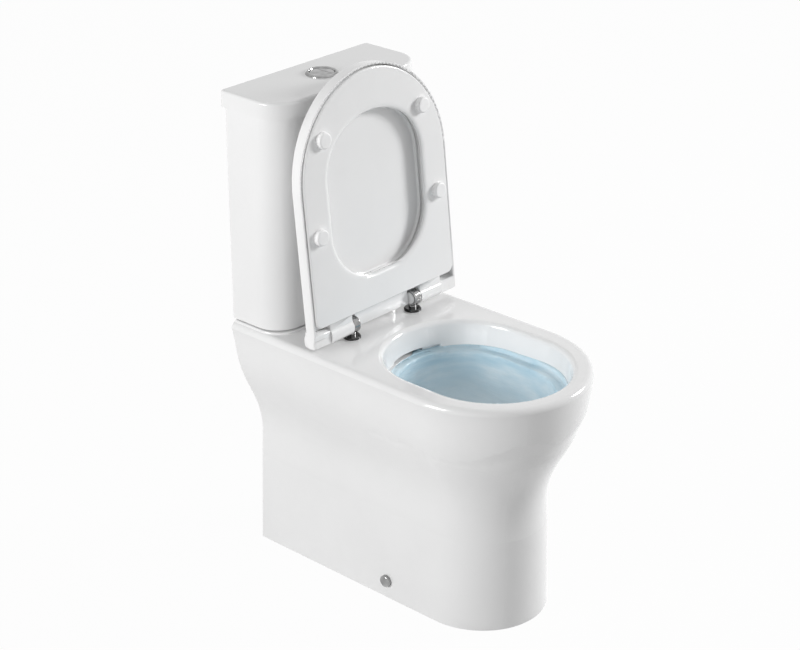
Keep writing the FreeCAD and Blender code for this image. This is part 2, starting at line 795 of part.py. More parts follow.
def make_pan():
    """One casting: skirt, deck, platform, bowl, flush channel, trapway and outlet."""
    body = new_body("pan")
    flare_shares = list(zip(FLARE_WIDTH_SHARES, FLARE_FRONT_SHARES))
    loft(body, "Additive", [foot_section(body, share) for share in (1, FOOT_TOP_SHARE)], ruled=True)
    loft(body, "Additive", [foot_section(body, FOOT_TOP_SHARE)] + [
        skirt_section(body, flare_height(up), shares)
        for up, shares in zip(FLARE_HEIGHT_SHARES, flare_shares)
    ])
    loft(body, "Additive", [
        skirt_section(body, f"(rim_height + ({rise} - 1) * rim_round)", (1, 1), f"({inset} * rim_round)")
        for rise, inset in zip(ROUND_RISE_SHARES, ROUND_INSET_SHARES)
    ])

    platform = sketch_on(body, "XY_Plane", DECK_UNDERSIDE)
    rounded_rectangle(platform, "platform_width / 2", f"({PAN_BACK} - platform_depth)", PAN_BACK,
                      "platform_corner", "platform_round")
    pad(body, platform, "deck_thickness + platform_rise")
    round_edges(body, level_edges(PLATFORM_TOP), "platform_round")

    beyond = f"({PAN_BACK} + overrun)"
    loft(body, "Subtractive", [
        foot_section(body, share, "skirt_wall", beyond) for share in (1, FOOT_TOP_SHARE)
    ], ruled=True)
    cavity = [foot_section(body, FOOT_TOP_SHARE, "skirt_wall", beyond)]
    cavity += [
        skirt_section(body, flare_height(up), shares, "skirt_wall", beyond)
        for up, shares in zip(FLARE_HEIGHT_SHARES[:-1], flare_shares[:-1])
    ]
    cavity_top = (CAVITY_TOP_WIDTH_SHARE, CAVITY_TOP_FRONT_SHARE)
    cavity.append(skirt_section(body, DECK_UNDERSIDE, cavity_top, "skirt_wall", beyond))
    loft(body, "Subtractive", cavity)

    loft(body, "Additive", [
        opening_section(body, f"({LEDGE} - bowl_wall)", "(-bowl_wall)"),
        opening_section(body, "(rim_height - rim_round)", "(-bowl_wall)"),
    ], ruled=True)
    heights = [f"({LEDGE} - {share} * ({LEDGE} - sump_height))" for share in BOWL_DEPTH_SHARES]
    shell_heights = heights[:-1] + ["(sump_height - bowl_wall)"]
    loft(body, "Additive", [
        bowl_section(body, height, number, "bowl_wall") for number, height in enumerate(shell_heights)
    ])

    channel_floor = f"({LEDGE} + channel_lift)"
    channel_back = f"({PAN_BACK} - channel_end_gap)"
    block = sketch_on(body, "XY_Plane", f"({channel_floor} - channel_wall)")
    rectangle(block, "-(channel_width / 2 + channel_wall)", "channel_width / 2 + channel_wall",
              f"{BOWL_BACK} - mouth_depth / 2", f"{channel_back} + channel_wall")
    pad(body, block, f"{DECK_UNDERSIDE} - {channel_floor} + channel_wall + channel_lift")
    trap_pipe(body, "Additive", "trap_bore + 2 * trap_wall")
    spigot = circle(sketch_on(body, "XZ_Plane", f"-{PAN_BACK}"), "outlet_diameter", "0", "outlet_height")
    pad(body, spigot, "outlet_length")

    loft(body, "Subtractive", [
        opening_section(body, LEDGE, "wall_draft"),
        opening_section(body, "(rim_height - lip_round)", "0"),
    ], ruled=True)
    loft(body, "Subtractive", [
        opening_section(body, f"(rim_height - lip_round + {rise} * lip_round)", f"(-{inset} * lip_round)")
        for rise, inset in zip(ROUND_RISE_SHARES, ROUND_INSET_SHARES)
    ])
    loft(body, "Subtractive", [
        bowl_section(body, height, number)
        for number, height in enumerate([f"({LEDGE} + channel_lift)"] + heights[1:])
    ])
    trap_pipe(body, "Subtractive", "trap_bore")

    channel = sketch_on(body, "XY_Plane", channel_floor)
    rectangle(channel, "-channel_width / 2", "channel_width / 2", f"{BOWL_BACK} + bowl_wall", channel_back)
    pocket(body, channel, "channel_height", backwards=True)
    mouth = sketch_on(body, "XY_Plane", channel_floor)
    into_bowl, slot_back = f"{BOWL_BACK} - mouth_depth", f"{BOWL_BACK} + mouth_slot"
    neck_back = f"{BOWL_BACK} + bowl_wall + overrun"
    polygon(mouth, [
        ("-mouth_width / 2", into_bowl), ("mouth_width / 2", into_bowl),
        ("mouth_width / 2", slot_back), ("channel_width / 2", slot_back),
        ("channel_width / 2", neck_back), ("-channel_width / 2", neck_back),
        ("-channel_width / 2", slot_back), ("-mouth_width / 2", slot_back),
    ])
    pocket(body, mouth, "mouth_height", backwards=True)
    socket = circle(sketch_on(body, "XY_Plane", PLATFORM_TOP), "socket_diameter", "0", VALVE_Y)
    pocket(body, socket, "socket_depth")
    outfall = circle(sketch_on(body, "XY_Plane", PLATFORM_TOP), "flush_hole", "0", VALVE_Y)
    pocket(body, outfall, f"{PLATFORM_TOP} - {channel_floor} - channel_height / 2")

    holes = sketch_on(body, "XY_Plane", PLATFORM_TOP)
    for side in ("-", ""):
        circle(holes, "stud_hole", f"{side}hinge_spacing / 2", HINGE_Y)
        circle(holes, "bolt_hole", f"{side}bolt_spacing / 2", VALVE_Y)
    circle(holes, "service_hole", "fill_x", VALVE_Y)
    pocket(body, holes, "platform_rise + deck_thickness + overrun")
    sides = circle(sketch_on(body, "YZ_Plane"), "side_hole", SIDE_FIX_Y, "side_fix_height")
    pocket_both_ways(body, sides)
    return body


# Floor fixing

def skirt_half_at(height):
    """Half the skirt's width at a height below its waist, on the straight part of its sides."""
    return f"(foot_width - (foot_width - waist_width) * {height} / waist_height) / 2"


def make_floor_fixing():
    """Brackets inside the skirt, screws through its sides and the caps over their heads."""
    inner_face = f"({skirt_half_at('bracket_height')} - skirt_wall - bracket_gap)"
    bracket = new_body("floor_bracket")
    profile = sketch_on(bracket, "XZ_Plane", f"-({SIDE_FIX_Y} + bracket_width / 2)")
    polygon(profile, [
        (f"{inner_face} - bracket_reach", "0"),
        (inner_face, "0"),
        (inner_face, "bracket_height"),
        (f"{inner_face} - bracket_block", "bracket_height"),
        (f"{inner_face} - bracket_block", "bracket_plate"),
        (f"{inner_face} - bracket_reach", "bracket_plate"),
    ])
    pad(bracket, profile, "bracket_width")
    pilot = circle(sketch_on(bracket, "YZ_Plane", inner_face), "bracket_pilot", SIDE_FIX_Y,
                   "side_fix_height")
    pocket(bracket, pilot, "bracket_block + overrun")
    floor_hole = circle(sketch_on(bracket, "XY_Plane", "bracket_plate"), "floor_screw_hole",
                        f"{inner_face} - bracket_reach + floor_hole_inset", SIDE_FIX_Y)
    pocket(bracket, floor_hole, "bracket_plate + overrun")

    outer_face = f"({skirt_half_at('(side_fix_height - side_cap / 2)')} + bracket_gap / 2)"
    screw = new_body("side_screw")
    shank = circle(sketch_on(screw, "YZ_Plane", outer_face), "side_screw", SIDE_FIX_Y, "side_fix_height")
    pad(screw, shank, "side_screw_length", backwards=True)
    head = circle(sketch_on(screw, "YZ_Plane", outer_face), "side_head", SIDE_FIX_Y, "side_fix_height")
    pad(screw, head, "side_head_height")

    cap = new_body("side_cap_one")
    dome = circle(sketch_on(cap, "YZ_Plane", outer_face), "side_cap", SIDE_FIX_Y, "side_fix_height")
    pad(cap, dome, "side_cap_height")
    outside = size(f"{outer_face} + side_cap_height - edge_tolerance")
    round_edges(cap, lambda edge: edge.BoundBox.XMin > outside, "side_cap_round")
    hollow = circle(sketch_on(cap, "YZ_Plane", outer_face), "side_head + 2 * side_cap_wall", SIDE_FIX_Y,
                    "side_fix_height")
    pocket(cap, hollow, "side_cap_height - side_cap_wall", backwards=True)
    return [pair("floor_brackets", bracket), pair("side_screws", screw), pair("side_caps", cap)]


# Cistern

def tank_outline(body, height, half, front, inset, back_corner):
    return rounded_rectangle(
        sketch_on(body, "XY_Plane", height),
        f"({half} - {inset})",
        f"({front} + {inset})",
        f"({WALL} - tank_back_inset - {inset})",
        f"(tank_front_corner - {inset})",
        back_corner,
    )


def make_cistern():
    """The tank: drawn in towards its base at the front, with holes for the valves and bolts."""
    body = new_body("cistern")
    top_front = f"({LID_FRONT} + tank_front_inset)"
    base_front = f"({LID_FRONT} + tank_base_inset)"
    loft(body, "Additive", [
        tank_outline(body, TANK_BASE, "tank_base_width / 2", base_front, "0", "tank_back_corner"),
        tank_outline(body, "tank_top", "tank_width / 2", top_front, "0", "tank_back_corner"),
    ], ruled=True)
    loft(body, "Subtractive", [
        tank_outline(body, height, half, front, "tank_wall", "tank_inside_corner")
        for height, half, front in ((TANK_INSIDE, "tank_base_width / 2", base_front),
                                    ("tank_top", "tank_width / 2", top_front))
    ], ruled=True)
    holes = sketch_on(body, "XY_Plane", TANK_INSIDE)
    circle(holes, "valve_hole", "0", VALVE_Y)
    circle(holes, "shank_hole", "fill_x", VALVE_Y)
    for side in ("-", ""):
        circle(holes, "bolt_hole", f"{side}bolt_spacing / 2", VALVE_Y)
    pocket(body, holes, "tank_floor + overrun")
    return body


def make_lid():
    """The lid, hollow below, with a skirt that drops inside the tank's mouth."""
    body = new_body("cistern_lid")
    outline = rounded_rectangle(sketch_on(body, "XY_Plane", "tank_top"), "lid_width / 2", LID_FRONT, WALL,
                                "lid_front_corner", "lid_back_corner")
    pad(body, outline, "lid_height")
    round_edges(body, level_edges(LID_TOP), "lid_round")
    skirt_inset = "(tank_wall + lid_skirt_gap)"
    hollow_inset = "(tank_wall + lid_skirt_gap + lid_skirt_wall)"
    front = f"({LID_FRONT} + tank_front_inset)"
    skirt = rounded_rectangle(
        sketch_on(body, "XY_Plane", "(tank_top - lid_skirt)"),
        f"(tank_width / 2 - {skirt_inset})", f"({front} + {skirt_inset})",
        f"({WALL} - tank_back_inset - {skirt_inset})",
        f"(tank_front_corner - {skirt_inset})", "(tank_inside_corner - lid_skirt_gap)")
    pad(body, skirt, "lid_skirt + lid_height - lid_plate")
    hollow = rounded_rectangle(
        sketch_on(body, "XY_Plane", "(tank_top - lid_skirt)"),
        f"(tank_width / 2 - {hollow_inset})", f"({front} + {hollow_inset})",
        f"({WALL} - tank_back_inset - {hollow_inset})",
        f"(tank_front_corner - {hollow_inset})", "(tank_inside_corner - lid_skirt_gap)")
    pocket(body, hollow, "lid_skirt + lid_height - lid_plate", backwards=True)
    hole = circle(sketch_on(body, "XY_Plane", LID_TOP), "bezel_hole", "0", VALVE_Y)
    pocket(body, hole, "lid_plate + overrun")
    return body


def wing_nut(name):
    """A round hub with two wings, bored for its bolt, hanging down from its own top."""
    body = new_body(name)
    pad(body, circle(sketch_on(body, "XY_Plane"), "wing_hub"), "wing_height", backwards=True)
    wings = rectangle(sketch_on(body, "XY_Plane"), "-wing_span / 2", "wing_span / 2",
                      "-wing_thickness / 2", "wing_thickness / 2")
    pad(body, wings, "wing_height", backwards=True)
    bore = circle(sketch_on(body, "XY_Plane"), "bolt_diameter + 2 * thread_gap")
    pocket(body, bore, "wing_height + overrun")
    return body


def make_coupling():
    """Gasket, bolts, washers, pads and wing nuts that clamp the cistern to the platform."""
    gasket = washer("coupling_gasket", "gasket_bore", "(socket_diameter - 2 * gasket_gap)",
                    "socket_depth + tank_gap")
    place(gasket, y=VALVE_Y, z=f"{PLATFORM_TOP} - socket_depth")

    bolt = new_body("cistern_bolt")
    tail = "(tank_floor + tank_gap + platform_rise + deck_thickness + washer_thickness + bolt_tail)"
    revolve(bolt, [
        ("0", f"-{tail}"), ("bolt_diameter / 2", f"-{tail}"), ("bolt_diameter / 2", "washer_thickness"),
        ("bolt_head / 2", "washer_thickness"), ("bolt_head / 2", "washer_thickness + bolt_head_height"),
        ("0", "washer_thickness + bolt_head_height"),
    ])
    bore = "(bolt_diameter + 2 * thread_gap)"
    inner = washer("bolt_washer", bore, "washer_diameter", "washer_thickness")
    cushion = washer("cistern_pad", bore, "washer_diameter", "tank_gap")
    under = washer("deck_washer", bore, "washer_diameter", "washer_thickness")
    nut = wing_nut("wing_nut")
    seats = (
        ("cistern_bolts", bolt, TANK_INSIDE),
        ("bolt_washers", inner, TANK_INSIDE),
        ("cistern_pads", cushion, PLATFORM_TOP),
        ("deck_washers", under, f"{DECK_UNDERSIDE} - washer_thickness"),
        ("wing_nuts", nut, f"{DECK_UNDERSIDE} - washer_thickness"),
    )
    nodes = [gasket]
    for name, piece, height in seats:
        place(piece, "bolt_spacing / 2", VALVE_Y, height)
        nodes.append(pair(name, piece))
    return nodes


# Flush valve

def make_flush_valve():
    """Base with its seat and posts, head, backnut, and the overflow tube that lifts off the seat."""
    base = new_body("flush_valve_base")
    revolve(base, [
        ("valve_bore / 2", "-valve_tail_length"),
        ("valve_tail / 2", "-valve_tail_length"),
        ("valve_tail / 2", "0"),
        ("valve_flange / 2", "0"),
        ("valve_flange / 2", "valve_flange_height"),
        ("valve_seat / 2", "valve_flange_height"),
        ("valve_seat / 2", "valve_seat_height"),
        ("valve_bore / 2", "valve_seat_height"),
    ])
    posts = []
    post = sketch_on(base, "XY_Plane", "valve_flange_height")
    rectangle(post, "post_spacing / 2", "post_spacing / 2 + post_thickness",
              "-post_depth / 2", "post_depth / 2")
    posts.append(pad(base, post, f"head_height - {TANK_INSIDE} - valve_flange_height"))
    mirror_across(base, posts)
    guide = sketch_on(base, "XY_Plane", "guide_height")
    rectangle(guide, "-(post_spacing / 2 + post_thickness / 2)", "post_spacing / 2 + post_thickness / 2",
              "-(overflow_diameter / 2 + guide_gap + guide_wall)",
              "overflow_diameter / 2 + guide_gap + guide_wall")
    pad(base, guide, "guide_thickness")
    bore = circle(sketch_on(base, "XY_Plane", "(guide_height + guide_thickness)"),
                  "overflow_diameter + 2 * guide_gap")
    pocket(base, bore, "guide_thickness + overrun")
    place(base, y=VALVE_Y, z=TANK_INSIDE)

    head = new_body("flush_valve_head")
    block = rectangle(sketch_on(head, "XY_Plane"), "-head_width / 2", "head_width / 2",
                      "-head_depth / 2", "head_depth / 2")
    pad(head, block, "head_thickness")
    sockets = sketch_on(head, "XY_Plane", "head_thickness")
    for rod in ("full_rod_x", "half_rod_x"):
        circle(sockets, "rod_diameter + 2 * rod_gap", rod, "0")
    pocket(head, sockets, "head_socket_depth")
    place(head, y=VALVE_Y, z="head_height")

    backnut = washer("flush_backnut", "(valve_tail + 2 * thread_gap)", "backnut_diameter", "backnut_height")
    place(backnut, y=VALVE_Y, z=f"{TANK_BASE} - backnut_height")

    seal = washer("flush_seal", "overflow_bore", "seal_diameter", "seal_thickness")
    place(seal, y=VALVE_Y, z=SEAL_BASE)
    tube = new_body("overflow_tube")
    tube_height = f"(overflow_height - {SEAL_BASE} - seal_thickness)"
    revolve(tube, [
        ("overflow_bore / 2", "0"),
        ("overflow_flange / 2", "0"),
        ("overflow_flange / 2", "overflow_flange_height"),
        ("overflow_diameter / 2", "overflow_flange_height"),
        ("overflow_diameter / 2", tube_height),
        ("overflow_bore / 2", tube_height),
    ])
    place(tube, y=VALVE_Y, z=f"{SEAL_BASE} + seal_thickness")
    return [base, head, backnut, seal, tube]


# Flush button

def button_half(name, left, right):
    """One of the two keys: the part of a disc between two straight lines."""
    body = new_body(name)
    disc = circle(sketch_on(body, "XY_Plane", "(button_top - button_depth)"), "bezel_bore - 2 * button_gap")
    pad(body, disc, "button_depth")
    away = rectangle(sketch_on(body, "XY_Plane", "button_top"), left, right,
                     "-bezel_bore / 2", "bezel_bore / 2")
    pocket(body, away, "button_depth + overrun")
    round_edges(body, level_edges("button_top"), "button_round")
    return place(body, y=VALVE_Y, z=LID_TOP)


def push_rod(name, across):
    body = new_body(name)
    low = f"(head_height + head_thickness - rod_entry - {LID_TOP})"
    rod = circle(sketch_on(body, "XY_Plane", low), "rod_diameter", across, "0")
    pad(body, rod, f"button_top - button_depth - {low}")
    return place(body, y=VALVE_Y, z=LID_TOP)


def make_button():
    """Bezel with its threaded tube, nut below the lid, two keys and their push rods."""
    bezel = new_body("button_bezel")
    revolve(bezel, [
        ("bezel_bore / 2", "-bezel_tube_length"),
        ("bezel_tube / 2", "-bezel_tube_length"),
        ("bezel_tube / 2", "0"),
        ("bezel_diameter / 2", "0"),
        ("bezel_diameter / 2", "bezel_lip / 2"),
        ("bezel_diameter / 2 - bezel_slope", "bezel_height"),
        ("bezel_bore / 2 + bezel_lip / 2", "bezel_height"),
        ("bezel_bore / 2", "bezel_height - bezel_lip"),
    ])
    place(bezel, y=VALVE_Y, z=LID_TOP)
    nut = washer("button_nut", "(bezel_tube + 2 * thread_gap)", "button_nut", "button_nut_height")
    place(nut, y=VALVE_Y, z=f"{LID_TOP} - lid_plate - button_nut_height")
    full = button_half("button_full", "button_split - button_gap", "bezel_bore / 2")
    half = button_half("button_half", "-bezel_bore / 2", "button_split + button_gap")
    return [bezel, nut, full, half, push_rod("full_rod", "full_rod_x"), push_rod("half_rod", "half_rod_x")]


# Fill valve

def make_fill_valve():
    """Bottom-entry fill valve: shank through the floor, riser and head, with a float round the riser."""
    valve = new_body("fill_valve")
    tail = f"({TANK_INSIDE} - {DECK_UNDERSIDE} + shank_tail)"
    flange = "fill_washer_thickness"
    top = f"(fill_height - {TANK_INSIDE})"
    revolve(valve, [
        ("0", f"-{tail}"),
        ("shank_diameter / 2", f"-{tail}"),
        ("shank_diameter / 2", f"shank_thread - {tail}"),
        ("shank_core / 2", f"shank_thread - {tail}"),
        ("shank_core / 2", flange),
        ("fill_flange / 2", flange),
        ("fill_flange / 2", f"{flange} + fill_flange_height"),
        ("fill_tube / 2", f"{flange} + fill_flange_height"),
        ("fill_tube / 2", top),
        ("fill_head / 2", top),
        ("fill_head / 2", f"{top} + fill_head_height"),
        ("0", f"{top} + fill_head_height"),
    ])
    place(valve, "fill_x", VALVE_Y, TANK_INSIDE)
    bore = "(shank_core + 2 * thread_gap)"
    seal = washer("inlet_washer", bore, "fill_flange", "fill_washer_thickness")
    place(seal, "fill_x", VALVE_Y, TANK_INSIDE)
    nut = washer("inlet_backnut", bore, "fill_nut", "fill_nut_height")
    place(nut, "fill_x", VALVE_Y, f"{TANK_BASE} - fill_nut_height")
    floater = washer("fill_float", "(fill_tube + 2 * float_gap)", "float_diameter", "float_height")
    place(floater, "fill_x", VALVE_Y, "float_bottom")
    return [valve, seal, nut, floater]


# Seat hinge: these pieces are drawn about the hinge axis, which is the X axis of their own frame

def at_hinge(item):
    return place(item, y=HINGE_Y, z=HINGE_HEIGHT)


def raised(item):
    """Swings a piece that is drawn closed up to where the raised seat leans back."""
    turn = FreeCAD.Rotation(FreeCAD.Vector(1, 0, 0), -(90 + size("seat_lean")))
    item.Placement = FreeCAD.Placement(FreeCAD.Vector(0, size(HINGE_Y), size(HINGE_HEIGHT)), turn)
    return at_hinge(item)


def bar_along_x(body, diameter, inner, outer):
    """A round bar on the hinge axis between two places along it."""
    return pad(body, circle(sketch_on(body, "YZ_Plane", inner), diameter), f"{outer} - {inner}")


def sleeve_along_x(name, inner, outer):
    """A damper or bush: a sleeve round the hinge pin."""
    body = new_body(name)
    section = sketch_on(body, "YZ_Plane", inner)
    circle(section, "damper_diameter")
    circle(section, "pin_diameter + 2 * pin_fit")
    pad(body, section, f"{outer} - {inner}")
    return body


def make_hinge():
    """Posts with drum heads and studs, their caps, base discs, pins and the fixings under the deck."""
    post = new_body("hinge_post_right")
    bar_along_x(post, "drum_diameter", "drum_inner", "drum_outer")
    tiny = size("edge_tolerance")
    round_edges(post, lambda edge: edge.BoundBox.XLength < tiny, "drum_round")
    stem = circle(sketch_on(post, "XY_Plane", "(base_height - hinge_rise)"), "stem_diameter",
                  "hinge_spacing / 2", "0")
    pad(post, stem, "hinge_rise - base_height")
    stud_end = "(-(hinge_rise + deck_thickness + stud_washer_height + wing_height + stud_tail))"
    stud = circle(sketch_on(post, "XY_Plane", stud_end), "stud_diameter", "hinge_spacing / 2", "0")
    pad(post, stud, f"-{stud_end}")
    recess = circle(sketch_on(post, "YZ_Plane", "drum_inner"), "cap_recess")
    pocket(post, recess, "cap_depth", backwards=True)
    bore = circle(sketch_on(post, "YZ_Plane", "drum_outer"), "pin_diameter + 2 * pin_fit")
    pocket(post, bore, "pin_seat")
    at_hinge(post)
    other_post = mirrored_copy("hinge_post_left", post)

    cap = new_body("hinge_cap")
    bar_along_x(cap, "cap_recess - 2 * cap_gap", "(drum_inner - cap_proud)", "(drum_inner + cap_depth)")
    face = size("drum_inner - cap_proud + edge_tolerance")
    round_edges(cap, lambda edge: edge.BoundBox.XMax < face, "cap_proud / 2")
    at_hinge(cap)

    base = new_body("hinge_base")
    revolve(base, [
        ("stud_diameter / 2 + base_gap", "0"),
        ("base_diameter / 2", "0"),
        ("base_diameter / 2", "base_height - base_round"),
        ("base_diameter / 2 - base_round", "base_height"),
        ("stud_diameter / 2 + base_gap", "base_height"),
    ])
    place(base, "hinge_spacing / 2", HINGE_Y, "rim_height")

    pin = new_body("hinge_pin")
    pin_end = f"({COVER_HALF} - ear_end_wall - damper_inset)"
    bar_along_x(pin, "pin_diameter", "(drum_outer - pin_seat)", pin_end)
    at_hinge(pin)

    under = washer("stud_washer_one", "(stud_diameter + 2 * thread_gap)", "stud_washer",
                   "stud_washer_height")
    place(under, "hinge_spacing / 2", HINGE_Y, f"{DECK_UNDERSIDE} - stud_washer_height")
    nut = wing_nut("stud_nut")
    place(nut, "hinge_spacing / 2", HINGE_Y, f"{DECK_UNDERSIDE} - stud_washer_height")
    return [post, other_post, pair("hinge_caps", cap), pair("hinge_bases", base), pair("hinge_pins", pin),
            pair("stud_washers", under), pair("stud_nuts", nut)]


def make_dampers():
    """Soft-close sleeves: a damper for the ring on one side and for the cover on the other."""
    ring_place = ("(ring_knuckle_inner + damper_inset)", f"({KNUCKLE_OUTER} - damper_inset)")
    ear_place = (f"({EAR_INNER} + damper_inset)", f"({COVER_HALF} - ear_end_wall)")
    ring_damper = raised(sleeve_along_x("ring_damper", *ring_place))
    cover_damper = raised(sleeve_along_x("cover_damper", *ear_place))
    return [
        ring_damper,
        mirrored_copy("ring_bush", ring_damper),
        cover_damper,
        mirrored_copy("cover_bush", cover_damper),
    ]


# Seat, drawn closed with its front to -Y and swung up into place

def make_seat_ring():
    """The ring: a rounded plate with an oval hole, and two knuckles on the hinge axis."""
    body = new_body("seat_ring")
    plate = sketch_on(body, "XY_Plane", "(-ring_drop)")
    d_outline(plate, "ring_width / 2", "(-ring_rear)", f"(-{RING_FRONT})", RING_NOSE, RING_CORNER,
              "ring_rear_corner")
    pad(body, plate, "ring_thickness")
    round_edges(body, level_edges("-ring_drop", RING_TOP), "ring_round")
    hole = sketch_on(body, "XY_Plane", RING_TOP)
    d_outline(hole, "ring_hole_width / 2", "(-ring_hole_rear)", f"(-{RING_HOLE_FRONT})", "ring_hole_nose",
              "ring_hole_corner", HOLE_BACK_CORNER)
    pocket(body, hole, "ring_thickness + overrun")
    reach = size("ring_hole_width / 2 + edge_tolerance")
    front = size(f"-({RING_HOLE_FRONT} + edge_tolerance)")
    back = size("edge_tolerance - ring_hole_rear")

    def on_hole(edge):
        box = edge.BoundBox
        return box.XMin > -reach and box.XMax < reach and box.YMin > front and box.YMax < back

    for height, radius in (("-ring_drop", "ring_hole_round"), (RING_TOP, "ring_hole_lip")):
        level = level_edges(height)
        round_edges(body, lambda edge: level(edge) and on_hole(edge), radius)
    knuckle = bar_along_x(body, "knuckle_diameter", "ring_knuckle_inner", KNUCKLE_OUTER)
    web = sketch_on(body, "YZ_Plane", "ring_knuckle_inner")
    rectangle(web, "-knuckle_web", "0", "-ring_drop + ring_round", RING_TOP)
    web = pad(body, web, f"{KNUCKLE_OUTER} - ring_knuckle_inner")
    bore = circle(sketch_on(body, "YZ_Plane", "ring_knuckle_inner"), "damper_diameter + 2 * damper_fit")
    bore = pocket(body, bore, f"{KNUCKLE_OUTER} - ring_knuckle_inner", backwards=True)
    mirror_across(body, [knuckle, web, bore])
    return raised(body)


def make_seat_cover():
    """The cover: a crowned plate that wraps over the ring, with an ear at each rear corner."""
    body = new_body("seat_cover")
    half = COVER_HALF
    crown_radius = f"(({half} ^ 2 + cover_crown ^ 2) / (2 * cover_crown))"
    section = sketch_on(body, "XZ_Plane", "-(cover_rear + overrun)")
    a, edge_height, top = size(half), size(COVER_EDGE), size(f"{COVER_EDGE} + cover_crown")
    low = size(COVER_RIM)
    corners = [FreeCAD.Vector(a, edge_height, 0), FreeCAD.Vector(-a, edge_height, 0),
               FreeCAD.Vector(-a, low, 0), FreeCAD.Vector(a, low, 0)]
    crown = section.addGeometry(Part.Arc(corners[0], FreeCAD.Vector(0, top, 0), corners[1]))
    sides = [section.addGeometry(Part.LineSegment(start, end))
             for start, end in zip(corners[1:], corners[2:] + corners[:1])]
    constrain(section, "Coincident", crown, nearest_end(section, crown, corners[1]), sides[0], 1)
    constrain(section, "Coincident", sides[0], 2, sides[1], 1)
    constrain(section, "Coincident", sides[1], 2, sides[2], 1)
    constrain(section, "Coincident", sides[2], 2, crown, nearest_end(section, crown, corners[0]))
    hold(section, sides[0], 1, f"-{half}", COVER_EDGE)
    hold(section, sides[0], 2, f"-{half}", COVER_RIM)
    hold(section, sides[2], 1, half, COVER_RIM)
    hold(section, sides[2], 2, half, COVER_EDGE)
    drive(section, "Radius", (crown,), crown_radius)
    tip = f"({RING_FRONT} + cover_side_gap + cover_wall)"
    pad(body, section, f"{tip} + cover_rear + 2 * overrun")

    trim = sketch_on(body, "XY_Plane", COVER_RIM)
    rectangle(trim, f"-({half} + overrun)", f"{half} + overrun", f"-({tip} + 3 * overrun)",
              "cover_rear + 3 * overrun")
    d_outline(trim, half, "cover_rear", f"(-{tip})", f"({RING_NOSE} + cover_side_gap + cover_wall)",
              f"({RING_CORNER} + cover_side_gap + cover_wall)", "cover_rear_corner")
    pocket_both_ways(body, trim)
    doc.recompute()
    lowest = size(f"{COVER_EDGE} - edge_tolerance")
    round_edges(body, lambda edge: edge.BoundBox.ZMin > lowest, "cover_round")

    recess = sketch_on(body, "XY_Plane", COVER_RIM)
    d_outline(recess, f"({half} - cover_wall)", "(cover_rear + overrun)", f"(-{tip} + cover_wall)",
              f"({RING_NOSE} + cover_side_gap)", f"({RING_CORNER} + cover_side_gap)")
    pocket(body, recess, f"{COVER_INSIDE} - {COVER_RIM}", backwards=True)
    dish = sketch_on(body, "XY_Plane", COVER_INSIDE)
    d_outline(dish, "(ring_hole_width / 2 + dish_margin)", "(dish_margin - ring_hole_rear)",
              f"(-({RING_HOLE_FRONT} + dish_margin))", "(ring_hole_nose + dish_margin)",
              "(ring_hole_corner + dish_margin)", f"({HOLE_BACK_CORNER} + dish_margin)")
    pocket(body, dish, "cover_dish", backwards=True)
    round_edges(body, level_edges(f"{COVER_INSIDE} + cover_dish"), "dish_round")
    notch = sketch_on(body, "XY_Plane")
    for side in ("-", ""):
        rectangle(notch, f"{side}cover_notch_inner", f"{side}{EAR_INNER}", "-cover_notch_front",
                  "cover_rear + overrun")
    pocket_both_ways(body, notch)

    ear_end = f"({half})"
    ear = bar_along_x(body, "knuckle_diameter", EAR_INNER, ear_end)
    web = sketch_on(body, "YZ_Plane", EAR_INNER)
    rectangle(web, "-cover_notch_front", "0", COVER_INSIDE, COVER_EDGE)
    web = pad(body, web, f"{ear_end} - {EAR_INNER}")
    bore = circle(sketch_on(body, "YZ_Plane", EAR_INNER), "damper_diameter + 2 * damper_fit")
    bore = pocket(body, bore, f"{ear_end} - {EAR_INNER} - ear_end_wall + damper_fit", backwards=True)
    mirror_across(body, [ear, web, bore])
    return raised(body)


def buffer_disc(name, diameter, across, reach, low, height, rounding=None):
    """A round pad that stands on a face of the closed seat."""
    body = new_body(name)
    disc = circle(sketch_on(body, "XY_Plane", low), diameter, across, f"-{reach}")
    pad(body, disc, height)
    if rounding:
        round_edges(body, level_edges(low), rounding)
    return raised(body)


def make_buffers():
    """Four buffers under the ring, and four thin pads between the cover and the ring."""
    stands, pads = [], []
    height = "hinge_rise - ring_drop - buffer_gap"
    front_reach = f"({RING_FRONT} - front_buffer_setback)"
    for inset, reach in (("front_buffer_inset", front_reach), ("side_buffer_inset", "side_buffer_reach")):
        across = f"(ring_width / 2 - {inset})"
        disc = buffer_disc("seat_buffer", "buffer_diameter", across, reach,
                           "(buffer_gap - hinge_rise)", height, "buffer_round")
        stands += [disc, mirrored_copy("seat_buffer_other", disc)]
    front_reach = f"({RING_FRONT} - front_pad_setback)"
    for inset, reach in (("front_pad_inset", front_reach), ("rear_pad_inset", "rear_pad_reach")):
        across = f"(ring_width / 2 - {inset})"
        disc = buffer_disc("cover_pad", "pad_diameter", across, reach, f"({RING_TOP} + pad_gap)",
                           "cover_gap - pad_gap")
        pads += [disc, mirrored_copy("cover_pad_other", disc)]
    return [group("seat_buffers", stands), group("cover_buffers", pads)]


nodes = [make_pan()]
nodes += make_floor_fixing()
nodes += [make_cistern(), make_lid()]
nodes += make_coupling()
nodes += make_flush_valve()
nodes += make_button()
nodes += make_fill_valve()
nodes += make_hinge()
nodes += make_dampers()
nodes += [make_seat_ring(), make_seat_cover()]
nodes += make_buffers()
doc.recompute()

failed = [item.Label for item in doc.Objects if {"Invalid", "Error"} & set(item.State)]
failed += [node.Label for node in nodes if node.Shape.isNull() or not node.Shape.isValid()]
if failed:
    raise RuntimeError(f"not built: {failed}")

